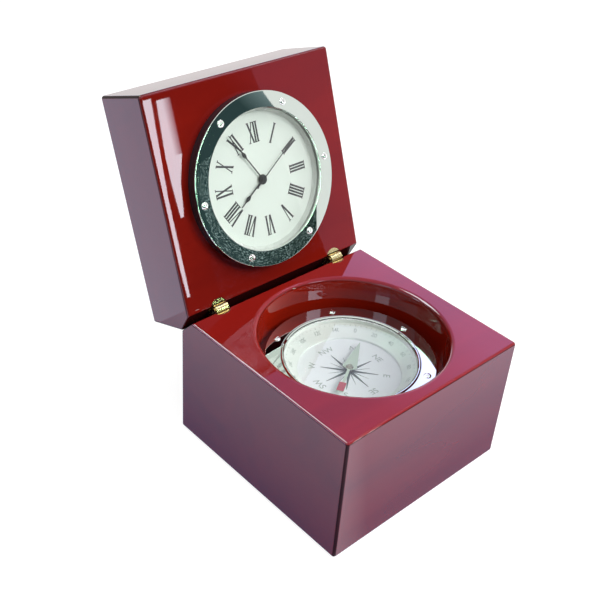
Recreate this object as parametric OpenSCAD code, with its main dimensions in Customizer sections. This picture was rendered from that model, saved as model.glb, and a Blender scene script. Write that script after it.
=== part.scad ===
// Desk clock and compass in a square wooden box, with its lid standing open.
// The table is at z = 0, the hinges are on the +y side and 12 o'clock is at the lid's free edge.

/* [Case] */
// Side of the square case
case_w = 100; // [96:1:130]
// Height of the base's top face above the table
base_top = 61.5; // [50:0.5:90]
// Height of the lid
lid_h = 29.5; // [24:0.5:45]
// Radius of the case's upright corners
corner_r = 1.4; // [1:0.2:5]
// Radius along the case's other edges
edge_r = 1.2; // [0.8:0.2:4]
// Angle through which the lid opens
open_angle = 110; // [95:1:125]
// Gap between the closed lid and the base
closing_gap = 0.3; // [0.2:0.1:0.6]
// Width of the bevel along the hinge side of lid and base
bevel_run = 7.8; // [7:0.1:10]
// Gap left between the two bevels where they stop the open lid
stop_gap = 0.2; // [0.1:0.1:0.5]
// Thickness of the felt under the base
felt_t = 1.2; // [0.8:0.1:3]
// Distance from the felt's edge to the case's side
felt_inset = 6; // [4:0.5:15]

/* [Hinges] */
// Distance from the hinge pins to the case's back
hinge_inset = 5.8; // [5.4:0.1:8]
// Distance from the case's side to the middle of a hinge
hinge_side = 16.2; // [12:0.2:22]
// Radius of a hinge barrel
barrel_r = 4.5; // [4.2:0.1:5]
// Depth of a hinge barrel in the wood
barrel_depth = 12; // [9:0.5:16]
// Radius of the hinge plates round the pin
knuckle_r = 2.2; // [1.6:0.1:2.4]
// Thickness of one hinge plate
hinge_plate_t = 1.2; // [0.8:0.1:1.4]
// Radius of the hinge pin
hinge_pin_r = 0.8; // [0.5:0.1:1]

/* [Recess] */
// Distance from the middle of the case to the middle of both inserts, towards the front
insert_forward = 2.9; // [0:0.1:4]
// Gap between the clock's ring and the wall of the recess when the lid is closed
recess_gap = 2.8; // [2:0.1:4]
// Depth of the recess that the compass lies in
recess_depth = 18; // [16:0.5:26]
// Radius of the recess's rounded rim
rim_r = 2; // [0.5:0.1:2.5]

/* [Insert rings] */
// Overhang of the clock's metal ring past its case
clock_flange_w = 4.4; // [3.6:0.1:4.8]
// Overhang of the compass's metal ring past its case
compass_flange_w = 3.7; // [3.3:0.1:4.8]
// Height of both rings above their seats
ring_h = 4.9; // [4.5:0.1:7]
// Distance from the clock's window to the outside of its case
window_inset = 2.7; // [2.1:0.1:3.4]
// Thickness of a ring's front
ring_plate_t = 1.2; // [0.8:0.1:1.5]
// Thickness of a ring's side wall
ring_wall_t = 1; // [0.8:0.1:1.3]
// Bevel along a ring's edges
ring_bevel = 0.4; // [0.1:0.1:0.6]
// Number of screws in a ring
ring_screws = 6; // [3:1:8]
// Turn of the clock's screws about the dial's middle
clock_screw_turn = 2.5; // [-20:0.5:20]
// Radius of a ring screw's head
screw_head_r = 1.6; // [1.2:0.1:1.8]
// Height of a ring screw's head above the ring
screw_head_h = 0.6; // [0.3:0.1:1]

/* [Clock case] */
// Radius of the inserts' round cases
insert_r = 33; // [32.6:0.1:33.6]
// Thickness of an insert case's wall
insert_wall_t = 1.5; // [1.2:0.1:1.6]
// Thickness of an insert case's back
insert_back_t = 1.2; // [1:0.1:2]
// Gap between an insert's case and its bore, filled by a rubber band
band_gap = 0.5; // [0.3:0.1:0.7]
// Width of a rubber band
band_w = 5; // [3:0.5:8]
// Room behind the clock's case in the lid's bore
bore_spare = 3.6; // [2.8:0.2:6]
// Thickness of the clock's crystal
crystal_t = 1.2; // [1:0.1:1.3]
// Rise of the crystal's domed front
crystal_rise = 0.9; // [0.2:0.1:2]
// Height of the dial above the lid's face
dial_z = 0.5; // [0.3:0.1:0.6]
// Thickness of the dial
dial_t = 0.4; // [0.3:0.1:0.5]

/* [Hands] */
// Distance from the hour hand's tip to the window's edge
hour_tip_inset = 14.3; // [10.5:0.1:18]
// Distance from the minute hand's tip to the window's edge
minute_tip_inset = 4.3; // [2.6:0.1:10]
// Distance from the second hand's tip to the window's edge
second_tip_inset = 6.9; // [2.6:0.1:12]
// Length of the second hand's tail
second_tail = 4.6; // [3:0.2:8]
// Clockwise angle of the hour hand from 12
hour_angle = 237; // [0:1:359]
// Clockwise angle of the minute hand from 12
minute_angle = 328.8; // [0:0.2:359.8]
// Clockwise angle of the second hand from 12
second_angle = 57.3; // [0:0.1:359.9]
// Thickness of a hand
hand_t = 0.2; // [0.15:0.05:0.25]

/* [Movement] */
// Thickness of the movement's front plate, behind the dial
front_plate_t = 1.3; // [1.2:0.1:1.8]
// Thickness of the movement's rear plate
rear_plate_t = 1.2; // [1.1:0.1:2]
// Radius of the movement's rear plate
movement_r = 22; // [21.6:0.1:24]
// Thickness of a toothed wheel
wheel_t = 0.8; // [0.6:0.05:0.9]
// Distance between two layers of wheels
layer_pitch = 1.3; // [1.2:0.05:1.5]
// Tooth size of the minute pinion and the motion wheel
motion_module = 0.3; // [0.28:0.01:0.31]
// Tooth size of the second pinion and the third wheel
third_module = 0.205; // [0.2:0.005:0.21]
// Tooth size of the second wheel and the intermediate pinion
second_module = 0.3; // [0.29:0.005:0.31]
// Tooth size of the intermediate wheel and the rotor pinion
rotor_module = 0.28; // [0.27:0.005:0.29]
// Radius of a wheel's arbor
arbor_r = 0.4; // [0.3:0.05:0.45]
// Radial play of a shaft in its hole
run_gap = 0.05; // [0.03:0.01:0.08]
// Radius of the button cell
cell_r = 5.8; // [5:0.1:6]
// Thickness of the button cell
cell_t = 5.4; // [4.2:0.1:5.6]
// Radius of the setting knob
knob_r = 3.2; // [2.5:0.1:3.4]
// Height of the setting knob
knob_h = 2; // [1.2:0.1:2.2]

/* [Compass] */
// Distance from the compass capsule's bright rim to the outside of the compass's case
rim_inset = 3.2; // [2.9:0.1:3.6]
// Height of that rim above the ring
rim_rise = 0.4; // [0.2:0.1:1]
// Width of that rim
rim_w = 1.1; // [0.9:0.1:1.4]
// Thickness of the compass's crystal
compass_crystal_t = 1.2; // [0.8:0.1:1.6]
// Distance from the edge of the compass card to the outside of the compass's case
card_inset = 10.5; // [9:0.1:13]
// Thickness of the compass card
card_t = 0.5; // [0.3:0.1:1]
// Depth of the card below the ring's seat
card_depth = 3.3; // [3:0.1:6]
// Height of the sloping ring's inner edge above the card
slope_foot = 1; // [0.6:0.1:1.6]
// Height that the sloping ring climbs
slope_rise = 3.8; // [2:0.1:4]
// Height of the needle above the card
needle_lift = 1.8; // [1.2:0.1:2.4]
// Distance from the needle's north tip to the card's edge
north_tip_inset = 4.2; // [2.5:0.1:8.5]
// Distance from the needle's south end to the card's edge
south_end_inset = 5.6; // [2.5:0.1:10.5]
// Width of the needle's north half at its base
needle_w = 6.4; // [3:0.1:8]
// Thickness of the needle
needle_t = 0.4; // [0.3:0.05:0.6]
// Turn of the needle from the +x side
needle_angle = 31; // [0:1:359]

/* [Hidden] */

$fn = 96;
half = 1 / 2;
// Overrun of every cut past the face that it opens
over = 1;
// Gap between two pieces that are assembled face to face
fit_gap = 0.1;
// Height of a raised print or a shallow groove's floor
thin = 0.2;

// Wooden case
foot_gap = 0.3;
base_wood_h = base_top - foot_gap;
hinge_x = case_w * half - hinge_side;
pivot_y = case_w * half - hinge_inset;
pivot_z = base_top + closing_gap * half;
face_z = -closing_gap * half;
bevel_drop = hinge_inset * tan(open_angle * half) + stop_gap * half - closing_gap * half;
felt_w = case_w - 2 * felt_inset;
felt_pocket = felt_t - foot_gap;

// Inserts
clock_ring_r = insert_r + clock_flange_w;
compass_ring_r = insert_r + compass_flange_w;
window_r = insert_r - window_inset;
recess_r = clock_ring_r + recess_gap;
floor_z = base_top - recess_depth;
bore_r = insert_r + band_gap;
flange_top = ring_h - ring_plate_t;
clock_y = pivot_y + insert_forward;

// Clock case, heights above the lid's face
crystal_lip = 0.8;
dome_steps = 8;
crystal_r = window_r + crystal_lip;
crystal_z = flange_top - crystal_t;
pocket_r = crystal_r + fit_gap;
pocket_step = 1.2;
cup_r = insert_r - insert_wall_t - pocket_step;
dial_ring_w = 1.5;
hour_len = window_r - hour_tip_inset;
minute_len = window_r - minute_tip_inset;
second_len = window_r - second_tip_inset;
dial_ring_lip = 0.3;
plate_z = dial_z - dial_t;
plate_back = plate_z - front_plate_t;
layer_gap = 0.3;
function layer_top(n) = plate_back - layer_gap - n * layer_pitch;
hour_layer = 0;
motion_layer = 1;
centre_layer = 2;
stator_layer = 3;
third_layer = 4;
second_layer = 5;
rotor_layer = 6;
rear_layer = 7;
rear_z = layer_top(rear_layer);
rear_back = rear_z - rear_plate_t;
cell_seat = layer_top(third_layer) - wheel_t - fit_gap;
spring_t = 0.2;
cell_front = cell_seat - spring_t;
cell_back = cell_front - cell_t;
strip_t = 0.2;
back_room = 1.2;
back_inner = min(rear_back - back_room, cell_back - strip_t);
back_z = back_inner - insert_back_t;
bore_depth = bore_spare - back_z;

// Tooth counts
minute_teeth = 12;
motion_teeth = 36;
motion_pinion_teeth = 10;
hour_teeth = 40;
setting_teeth = 10;
second_pinion_teeth = 8;
third_teeth = 60;
third_pinion_teeth = 8;
centre_teeth = 64;
second_teeth = 40;
intermediate_pinion_teeth = 8;
intermediate_teeth = 36;
rotor_teeth = 6;
addendum_share = 0.8;
dedendum_share = 1.2;
root_share = 0.46;
tip_share = 0.16;

// Places of the wheels on the movement's plates
function polar(r, a) = [r * cos(a), r * sin(a)];
function gear_distance(size, a, b) = size * (a + b) * half;
motion_angle = 90;
setting_angle = 60;
third_angle = 200;
intermediate_angle = 320;
rotor_angle = 320;
motion_distance = gear_distance(motion_module, minute_teeth, motion_teeth);
hour_module = motion_distance / ((motion_pinion_teeth + hour_teeth) * half);
third_distance = gear_distance(third_module, second_pinion_teeth, third_teeth);
centre_module = third_distance / ((third_pinion_teeth + centre_teeth) * half);
intermediate_distance = gear_distance(second_module, second_teeth, intermediate_pinion_teeth);
rotor_distance = gear_distance(rotor_module, intermediate_teeth, rotor_teeth);
setting_distance = gear_distance(motion_module, motion_teeth, setting_teeth);
motion_at = polar(motion_distance, motion_angle);
setting_at = motion_at + polar(setting_distance, setting_angle);
third_at = polar(third_distance, third_angle);
intermediate_at = polar(intermediate_distance, intermediate_angle);
rotor_at = intermediate_at + polar(rotor_distance, rotor_angle);

// Turn of a gear's first tooth that puts it in mesh with a neighbour at the given bearing
function mesh_phase(phase, teeth, mate_teeth, bearing) =
  bearing + 180 + 180 / mate_teeth - (phase - bearing) * teeth / mate_teeth;
motion_phase = mesh_phase(0, minute_teeth, motion_teeth, motion_angle);
hour_phase = mesh_phase(0, motion_pinion_teeth, hour_teeth, motion_angle + 180);
setting_phase = mesh_phase(motion_phase, motion_teeth, setting_teeth, setting_angle);
third_phase = mesh_phase(0, second_pinion_teeth, third_teeth, third_angle);
centre_phase = mesh_phase(0, third_pinion_teeth, centre_teeth, third_angle + 180);
intermediate_phase = mesh_phase(0, second_teeth, intermediate_pinion_teeth, intermediate_angle);
rotor_phase = mesh_phase(0, intermediate_teeth, rotor_teeth, rotor_angle);

// Centre arbors, each running inside the next
second_arbor_r = 0.5;
cannon_wall = 0.5;
cannon_bore_r = second_arbor_r + run_gap;
cannon_r = cannon_bore_r + cannon_wall;
hour_bore_r = cannon_r + run_gap;
hour_pipe_r = hour_bore_r + cannon_wall;
hub_bore_r = hour_pipe_r + run_gap;
collar_w = 0.6;
collar_h = 0.2;
pivot_len = 0.7;
pivot_spare = 0.1;
// Heights of the hands' undersides above the dial
hour_lift = 0.6;
minute_lift = 1;
second_lift = 1.4;
boss_w = 0.6;
boss_h = 0.3;

// Movement parts
pillar_r = 1.5;
pillar_inset = 3;
pillar_angles = [95, 150, 225, 345];
movement_screw_r = 0.6;
movement_head_r = 1.3;
movement_head_h = 0.6;
cell_at = [12.5, 6.5];
cell_gap = 0.2;
cell_boss_share = 0.78;
hatch_margin = 1.1;
hatch_r = cell_r + hatch_margin;
hatch_rim_w = 0.5;
hatch_rim_t = 0.6;
hatch_slot_w = 1.5;
stem_r = 1;
stem_hole_gap = 0.3;
knob_gap = 0.3;
knob_ribs = 12;
knob_rib_r = 0.25;
magnet_r = 1.6;
magnet_h = 1.4;
magnet_gap = 0.4;
pole_w = 1.8;
stator_t = 0.8;
core_w = 3;
core_t = 0.8;
core_y = -15.5;
core_left = -9;
core_right = 13.5;
bobbin_left = -5;
bobbin_right = 9;
bobbin_gap = 0.1;
bobbin_wall = 0.25;
bobbin_flange_r = 3;
bobbin_flange_t = 0.5;
winding_r = 2.7;
board_t = 0.6;
board_left = -11;
board_right = 8;
board_low = -18.5;
board_high = -12;
chip_at = [-8, -16];
chip_r = 1.7;
chip_h = 0.8;
can_at = [-10.5, -13];
can_r = 0.7;
can_len = 4.5;
spring_r = 3.6;
strip_w = 3;
strip_len = 8;
band_rib_w = 0.8;

// Compass, heights above the floor of the recess
rim_outer_r = insert_r - rim_inset;
card_r = insert_r - card_inset;
needle_north = card_r - north_tip_inset;
needle_south = card_r - south_end_inset;
compass_window_r = rim_outer_r + fit_gap;
capsule_r = rim_outer_r;
capsule_inner_r = rim_outer_r - rim_w;
capsule_floor_t = 1.2;
card_top = -card_depth;
card_base = card_top - card_t;
capsule_floor = card_base - capsule_floor_t;
compass_back = capsule_floor - fit_gap - insert_back_t;
compass_bore_spare = 0.5;
compass_bore_depth = compass_bore_spare - compass_back;
ledge_w = 0.4;
slope_inner_r = card_r + fit_gap;
slope_outer_r = capsule_inner_r - ledge_w;
slope_low = card_top + slope_foot;
slope_high = slope_low + slope_rise;
rim_top = ring_h + rim_rise;
rim_bottom = flange_top - rim_w;
compass_inset = 0.7;
compass_crystal_top = rim_top - compass_inset;
compass_crystal_base = compass_crystal_top - compass_crystal_t;
groove_w = 0.35;
needle_z = card_top + needle_lift;
pivot_pin_r = 0.5;
pivot_foot_r = 1.6;
pivot_foot_h = 0.5;
cap_r = 1.7;
cap_h = 1;
needle_tip_w = 0.3;
needle_tail_w = 1.2;
needle_red_w = 3.2;
needle_red_from_share = 0.66;

// Ring screws
screw_shank_r = 0.8;
screw_slot_w = 0.5;
screw_slot_d = 0.4;
screw_len = 2.6;
// Slot directions of the ring screws, as shares of a half turn
slot_turn_shares = [0.55, 0.1, 0.4, 0.8, 0.25, 0.65, 0.9, 0.3];

// Hinges
hinge_plates = 5;
hinge_play = 0.1;
knuckle_gap = 0.35;
barrel_recess = 0.15;
barrel_hole_gap = 0.05;
hinge_w = hinge_plates * hinge_plate_t + (hinge_plates - 1) * hinge_play;
pin_head_t = 0.4;
pin_head_share = 1.5;
pin_head_r = hinge_pin_r * pin_head_share;

cherry = [0.42, 0.05, 0.05];
felt_green = [0.05, 0.12, 0.08];
chrome = [0.8, 0.82, 0.84];
dial_white = [0.93, 0.96, 0.92];
glass = [0.85, 0.92, 0.95, 0.35];
brass = [0.85, 0.72, 0.4];
black = [0.08, 0.08, 0.08];
grey_plastic = [0.55, 0.57, 0.6];
steel = [0.6, 0.6, 0.62];
pale_green = [0.75, 0.88, 0.72];
board_green = [0.1, 0.35, 0.2];
copper = [0.72, 0.4, 0.2];

// Plain shapes

module rounded_rect(w, d, r) {
  square([w - 2 * r, d], center = true);
  square([w, d - 2 * r], center = true);
  for (x = [-1, 1], y = [-1, 1])
    translate([x * (w * half - r), y * (d * half - r)])
      circle(r);
}

module tube(outer, inner, h) {
  difference() {
    cylinder(r = outer, h = h);
    translate([0, 0, -over])
      cylinder(r = inner, h = h + 2 * over);
  }
}

// Cylinder from height low up to height high
module rod(r, low, high) {
  translate([0, 0, low])
    cylinder(r = r, h = high - low);
}

module bar(from, to) {
  translate(from)
    cube(to - from);
}

// Frames: the hinge line on the base, the same line on the open lid, and the two inserts' seats

module at_pivot() {
  translate([0, pivot_y, pivot_z])
    children();
}

module on_lid() {
  translate([0, pivot_y, pivot_z])
    rotate([180 - open_angle, 0, 0])
      children();
}

module at_clock() {
  on_lid()
    translate([0, clock_y, face_z])
      children();
}

module at_compass() {
  translate([0, -insert_forward, floor_z])
    children();
}

// Wooden block seen from the hinge line: wood below, hinge side at +y, bevelled along that side
module wood_block(h) {
  middle = hinge_inset - case_w * half;
  difference() {
    intersection() {
      translate([0, middle, face_z - h])
        linear_extrude(h)
          rounded_rect(case_w, case_w, corner_r);
      translate([-case_w * half, middle, face_z - h * half])
        rotate([90, 0, 90])
          linear_extrude(case_w)
            rounded_rect(case_w, h, edge_r);
      translate([0, hinge_inset, face_z - h * half])
        rotate([90, 0, 0])
          linear_extrude(case_w)
            rounded_rect(case_w, h, edge_r);
    }
    bevel_cut(0);
    for (side = [-1, 1])
      translate([side * hinge_x, 0, face_z - barrel_depth])
        cylinder(r = barrel_r + barrel_hole_gap, h = barrel_depth + over);
  }
}

// Wedge outside the bevel, moved into the wood by inset
module bevel_cut(inset) {
  slope = bevel_drop / bevel_run;
  translate([-case_w, 0, 0])
    rotate([90, 0, 90])
      linear_extrude(2 * case_w)
        polygon([
          [hinge_inset - bevel_run - over / slope - inset, face_z + over],
          [hinge_inset + over - inset, face_z - bevel_drop - over * slope],
          [hinge_inset + over * 2 + bevel_run, face_z - bevel_drop - over * slope],
          [hinge_inset + over * 2 + bevel_run, face_z + over]
        ]);
}

// Rounds the rim of a round hole whose mouth is at z = 0
module rim_cut(hole_r) {
  rotate_extrude()
    difference() {
      translate([hole_r - over, -rim_r])
        square([rim_r + over, rim_r + over]);
      translate([hole_r + rim_r, -rim_r])
        circle(rim_r);
    }
}

// Base

module base_block() {
  color(cherry)
    difference() {
      at_pivot()
        wood_block(base_wood_h);
      at_compass() {
        rod(recess_r, 0, recess_depth + over);
        rod(bore_r, -compass_bore_depth, over);
      }
      translate([0, -insert_forward, base_top])
        rim_cut(recess_r);
      translate([0, 0, foot_gap - over])
        linear_extrude(felt_pocket + over)
          rounded_rect(felt_w, felt_w, corner_r);
    }
}

module base_felt() {
  color(felt_green)
    linear_extrude(felt_t)
      rounded_rect(felt_w - 2 * fit_gap, felt_w - 2 * fit_gap, corner_r - fit_gap);
}

// Hinges: a barrel in each block, plates that interleave, and a pin

// Barrel and plates of one half, wood below; the plates are numbered from the -x side
module hinge_half(plates, bore) {
  reach = knuckle_r + knuckle_gap;
  difference() {
    union() {
      difference() {
        rod(barrel_r, face_z - barrel_depth + fit_gap, face_z - barrel_recess);
        bevel_cut(barrel_recess);
        translate([-barrel_r - over, 0, 0])
          rotate([0, 90, 0])
            cylinder(r = reach, h = 2 * (barrel_r + over));
        translate([-barrel_r - over, -reach, 0])
          cube([2 * (barrel_r + over), 2 * reach, reach]);
      }
      for (n = plates)
        translate([n * (hinge_plate_t + hinge_play) - hinge_w * half, 0, 0]) {
          rotate([0, 90, 0])
            cylinder(r = knuckle_r, h = hinge_plate_t);
          translate([0, -knuckle_r, -reach - fit_gap * 2])
            cube([hinge_plate_t, 2 * knuckle_r, reach + fit_gap * 2]);
        }
    }
    translate([-hinge_w, 0, 0])
      rotate([0, 90, 0])
        cylinder(r = bore, h = 2 * hinge_w);
  }
}

module hinge_base_half(side) {
  color(brass)
    at_pivot()
      translate([side * hinge_x, 0, 0])
        hinge_half([0, 2, 4], hinge_pin_r);
}

module hinge_lid_half(side) {
  color(brass)
    on_lid()
      translate([side * hinge_x, 0, 0])
        mirror([0, 1, 0])
          hinge_half([1, 3], hinge_pin_r + run_gap);
}

module hinge_pin(side) {
  color(brass)
    at_pivot()
      translate([side * hinge_x, 0, 0])
        rotate([0, 90, 0]) {
          rod(hinge_pin_r, -hinge_w * half - pin_head_t, hinge_w * half + pin_head_t);
          rod(pin_head_r, -hinge_w * half - pin_head_t, -hinge_w * half);
          rod(pin_head_r, hinge_w * half, hinge_w * half + pin_head_t);
        }
}

// Insert pieces that clock and compass share

module insert_bezel(ring_r, hole_r) {
  screw_circle = (ring_r + hole_r) * half;
  difference() {
    rotate_extrude()
      polygon([
        [ring_r, 0],
        [ring_r, ring_h - ring_bevel],
        [ring_r - ring_bevel, ring_h],
        [hole_r + ring_bevel, ring_h],
        [hole_r, ring_h - ring_bevel],
        [hole_r, flange_top],
        [ring_r - ring_wall_t, flange_top],
        [ring_r - ring_wall_t, 0]
      ]);
    for (n = [0 : ring_screws - 1])
      rotate(n * 360 / ring_screws)
        translate([screw_circle, 0, 0])
          rod(screw_shank_r + fit_gap, flange_top - over, ring_h + over);
  }
}

module insert_screws(ring_r, hole_r) {
  screw_circle = (ring_r + hole_r) * half;
  for (n = [0 : ring_screws - 1])
    rotate(n * 360 / ring_screws)
      translate([screw_circle, 0, 0])
        difference() {
          union() {
            rod(screw_shank_r, ring_h - screw_len, ring_h + fit_gap);
            translate([0, 0, ring_h])
              cylinder(r1 = screw_head_r, r2 = screw_head_r - screw_head_h * half, h = screw_head_h);
          }
          rotate(180 * slot_turn_shares[n])
            translate([-screw_head_r - over, -screw_slot_w * half, ring_h + screw_head_h - screw_slot_d])
              cube([2 * (screw_head_r + over), screw_slot_w, screw_slot_d + over]);
        }
}

module screw_holes(ring_r, hole_r) {
  for (n = [0 : ring_screws - 1])
    rotate(n * 360 / ring_screws)
      translate([(ring_r + hole_r) * half, 0, 0])
        rod(screw_shank_r, ring_h - screw_len - fit_gap, flange_top + over);
}

// Rubber band with three ribs that holds an insert in its bore, its lower edge at z = low
module insert_band(low) {
  rotate_extrude() {
    translate([insert_r, low])
      square([band_gap * half, band_w]);
    for (n = [0 : 2])
      translate([insert_r, low + n * (band_w - band_rib_w) * half])
        square([band_gap, band_rib_w]);
  }
}

// Compass

module compass_case() {
  flange_r = compass_ring_r - ring_wall_t - fit_gap;
  color(black)
    at_compass()
      difference() {
        rotate_extrude()
          polygon([
            [0, compass_back],
            [insert_r, compass_back],
            [insert_r, 0],
            [flange_r, 0],
            [flange_r, flange_top],
            [capsule_r + fit_gap, flange_top],
            [capsule_r + fit_gap, capsule_floor - fit_gap],
            [0, capsule_floor - fit_gap]
          ]);
        screw_holes(compass_ring_r, compass_window_r);
      }
}

module compass_band() {
  color(black)
    at_compass()
      insert_band(-band_w - fit_gap);
}

module compass_capsule() {
  color(dial_white)
    at_compass()
      rotate_extrude()
        polygon([
          [0, capsule_floor],
          [capsule_r, capsule_floor],
          [capsule_r, rim_bottom],
          [capsule_inner_r, rim_bottom],
          [capsule_inner_r, card_base],
          [0, card_base]
        ]);
}

module compass_card() {
  color(dial_white)
    at_compass()
      rod(card_r, card_base, card_top);
}

module degree_ring() {
  color(dial_white)
    at_compass()
      rotate_extrude()
        polygon([
          [slope_inner_r, card_base],
          [capsule_inner_r - fit_gap, card_base],
          [capsule_inner_r - fit_gap, compass_crystal_base],
          [slope_outer_r, compass_crystal_base],
          [slope_outer_r, slope_high],
          [slope_inner_r, slope_low]
        ]);
}

module compass_crystal() {
  color(glass)
    at_compass()
      rod(capsule_inner_r - groove_w, compass_crystal_base, compass_crystal_top);
}

module compass_rim() {
  color(chrome)
    at_compass()
      rotate_extrude()
        polygon([
          [rim_outer_r, rim_bottom],
          [rim_outer_r, rim_top - ring_bevel],
          [rim_outer_r - ring_bevel, rim_top],
          [capsule_inner_r + ring_bevel, rim_top],
          [capsule_inner_r, rim_top - ring_bevel],
          [capsule_inner_r, rim_bottom]
        ]);
}

module compass_bezel() {
  color(chrome)
    at_compass()
      insert_bezel(compass_ring_r, compass_window_r);
}

module compass_bezel_screws() {
  color(steel)
    at_compass()
      insert_screws(compass_ring_r, compass_window_r);
}

module compass_pivot() {
  color(brass)
    at_compass() {
      rod(pivot_foot_r, card_top, card_top + pivot_foot_h);
      rod(pivot_pin_r, card_top, needle_z + needle_t);
    }
}

module compass_needle() {
  red_from = needle_south * needle_red_from_share;
  color(pale_green)
    at_compass()
      rotate(needle_angle)
        translate([0, 0, needle_z])
          difference() {
            linear_extrude(needle_t)
              polygon([
                [needle_north, needle_tip_w * half],
                [0, needle_w * half],
                [-cap_r, needle_tail_w * half],
                [-red_from, needle_tail_w * half],
                [-red_from, needle_red_w * half],
                [-needle_south, needle_red_w * half],
                [-needle_south, -needle_red_w * half],
                [-red_from, -needle_red_w * half],
                [-red_from, -needle_tail_w * half],
                [-cap_r, -needle_tail_w * half],
                [0, -needle_w * half],
                [needle_north, -needle_tip_w * half]
              ]);
            rod(pivot_pin_r + run_gap, -over, over);
          }
}

// Bearing cup on the needle, closed over the pivot's point
module needle_cap() {
  color(brass)
    at_compass()
      translate([0, 0, needle_z + needle_t])
        difference() {
          cylinder(r1 = cap_r, r2 = cap_r * half, h = cap_h);
          rod(pivot_pin_r + run_gap, -over, run_gap);
        }
}

// Clock case

module lid_block() {
  color(cherry)
    on_lid()
      difference() {
        mirror([0, 1, 0])
          wood_block(lid_h);
        translate([0, clock_y, face_z])
          rod(bore_r, -bore_depth, over);
      }
}

module clock_case() {
  flange_r = clock_ring_r - ring_wall_t - fit_gap;
  color(grey_plastic)
    at_clock()
      difference() {
        rotate_extrude()
          polygon([
            [0, back_z],
            [insert_r, back_z],
            [insert_r, 0],
            [flange_r, 0],
            [flange_r, flange_top],
            [pocket_r, flange_top],
            [pocket_r, plate_back],
            [cup_r, plate_back],
            [cup_r, back_inner],
            [0, back_inner]
          ]);
        rotate(clock_screw_turn)
          screw_holes(clock_ring_r, window_r);
        translate(cell_at)
          rod(hatch_r + fit_gap, back_z - over, back_inner + over);
        translate(setting_at)
          rod(stem_r + stem_hole_gap, back_z - over, back_inner + over);
      }
}

module clock_band() {
  color(black)
    at_clock()
      insert_band(-band_w - fit_gap);
}

module battery_hatch() {
  color(grey_plastic)
    at_clock()
      translate(cell_at)
        difference() {
          union() {
            rod(hatch_r, back_z, back_inner);
            rod(hatch_r + hatch_rim_w, back_z - hatch_rim_t, back_z);
          }
          translate([-hatch_r * half, -hatch_slot_w * half, back_z - hatch_rim_t - over])
            cube([hatch_r, hatch_slot_w, hatch_rim_t + over]);
        }
}

module clock_bezel() {
  color(chrome)
    at_clock()
      rotate(clock_screw_turn)
        insert_bezel(clock_ring_r, window_r);
}

module clock_bezel_screws() {
  color(steel)
    at_clock()
      rotate(clock_screw_turn)
        insert_screws(clock_ring_r, window_r);
}

// Crystal with a flat edge under the ring and a domed front in the window
module clock_crystal() {
  dome_r = window_r - fit_gap;
  color(glass)
    at_clock()
      rotate_extrude()
        polygon(concat(
          [[0, crystal_z], [crystal_r, crystal_z], [crystal_r, flange_top]],
          [for (n = [0 : dome_steps])
            let (r = dome_r * (1 - n / dome_steps))
            [r, flange_top + crystal_rise * (1 - pow(r / dome_r, 2))]]
        ));
}

// Pale ring between dial and crystal
module dial_ring() {
  color(chrome)
    at_clock()
      rotate_extrude()
        polygon([
          [window_r - dial_ring_w, dial_z],
          [crystal_r, dial_z],
          [crystal_r, crystal_z],
          [window_r - dial_ring_lip, crystal_z]
        ]);
}

module clock_dial() {
  color(dial_white)
    at_clock()
      difference() {
        rod(crystal_r, plate_z, dial_z);
        rod(hub_bore_r + fit_gap, plate_z - over, dial_z + over);
      }
}

// Movement

module blind_pivot(at, low, high) {
  translate(at)
    rod(arbor_r + run_gap, low, high);
}

module movement_front() {
  pillar_circle = movement_r - pillar_inset;
  color(grey_plastic)
    at_clock()
      difference() {
        union() {
          rod(crystal_r, plate_back, plate_z);
          for (a = pillar_angles)
            rotate(a)
              translate([pillar_circle, 0, 0])
                rod(pillar_r, rear_z, plate_back + fit_gap);
          translate(cell_at)
            rod(cell_r * cell_boss_share, cell_seat, plate_back + fit_gap);
          translate(motion_at)
            rod(arbor_r, layer_top(centre_layer) + fit_gap, plate_back + fit_gap);
        }
        rod(hub_bore_r, plate_back - over, plate_z + over);
        for (at = [setting_at, third_at, intermediate_at, rotor_at])
          blind_pivot(at, plate_back - over, plate_back + pivot_len + pivot_spare);
        for (a = pillar_angles)
          rotate(a)
            translate([pillar_circle, 0, 0])
              rod(movement_screw_r, rear_z - over, rear_z + rear_plate_t + pivot_len);
      }
}

module movement_rear() {
  pillar_circle = movement_r - pillar_inset;
  color(grey_plastic)
    at_clock()
      difference() {
        rod(movement_r, rear_back, rear_z);
        for (at = [[0, 0], third_at, intermediate_at, rotor_at])
          blind_pivot(at, rear_z - pivot_len - pivot_spare, rear_z + over);
        translate(setting_at)
          rod(stem_r + run_gap, rear_back - over, rear_z + over);
        translate(cell_at)
          rod(cell_r + cell_gap, rear_back - over, rear_z + over);
        for (a = pillar_angles)
          rotate(a)
            translate([pillar_circle, 0, 0])
              rod(movement_screw_r + fit_gap, rear_back - over, rear_z + over);
      }
}

module movement_screws() {
  color(steel)
    at_clock()
      for (a = pillar_angles)
        rotate(a)
          translate([movement_r - pillar_inset, 0, 0])
            difference() {
              union() {
                rod(movement_screw_r, rear_back, rear_z + rear_plate_t);
                rod(movement_head_r, rear_back - movement_head_h, rear_back);
              }
              bar(
                [-movement_head_r - over, -thin, rear_back - movement_head_h - over],
                [movement_head_r + over, thin, rear_back - movement_head_h * half]
              );
            }
}

module circuit_board() {
  color(board_green)
    at_clock()
      bar([board_left, board_low, rear_z], [board_right, board_high, rear_z + board_t]);
}

module circuit_chip() {
  color(black)
    at_clock()
      translate(chip_at)
        rod(chip_r, rear_z + board_t, rear_z + board_t + chip_h);
}

module quartz_can() {
  color(steel)
    at_clock()
      translate([can_at[0], can_at[1], rear_z + board_t + can_r])
        rotate([0, 90, 0])
          cylinder(r = can_r, h = can_len);
}

module coil_core() {
  top = layer_top(stator_layer) - stator_t;
  color(steel)
    at_clock()
      bar([core_left, core_y - core_w * half, top - core_t], [core_right, core_y + core_w * half, top]);
}

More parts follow.
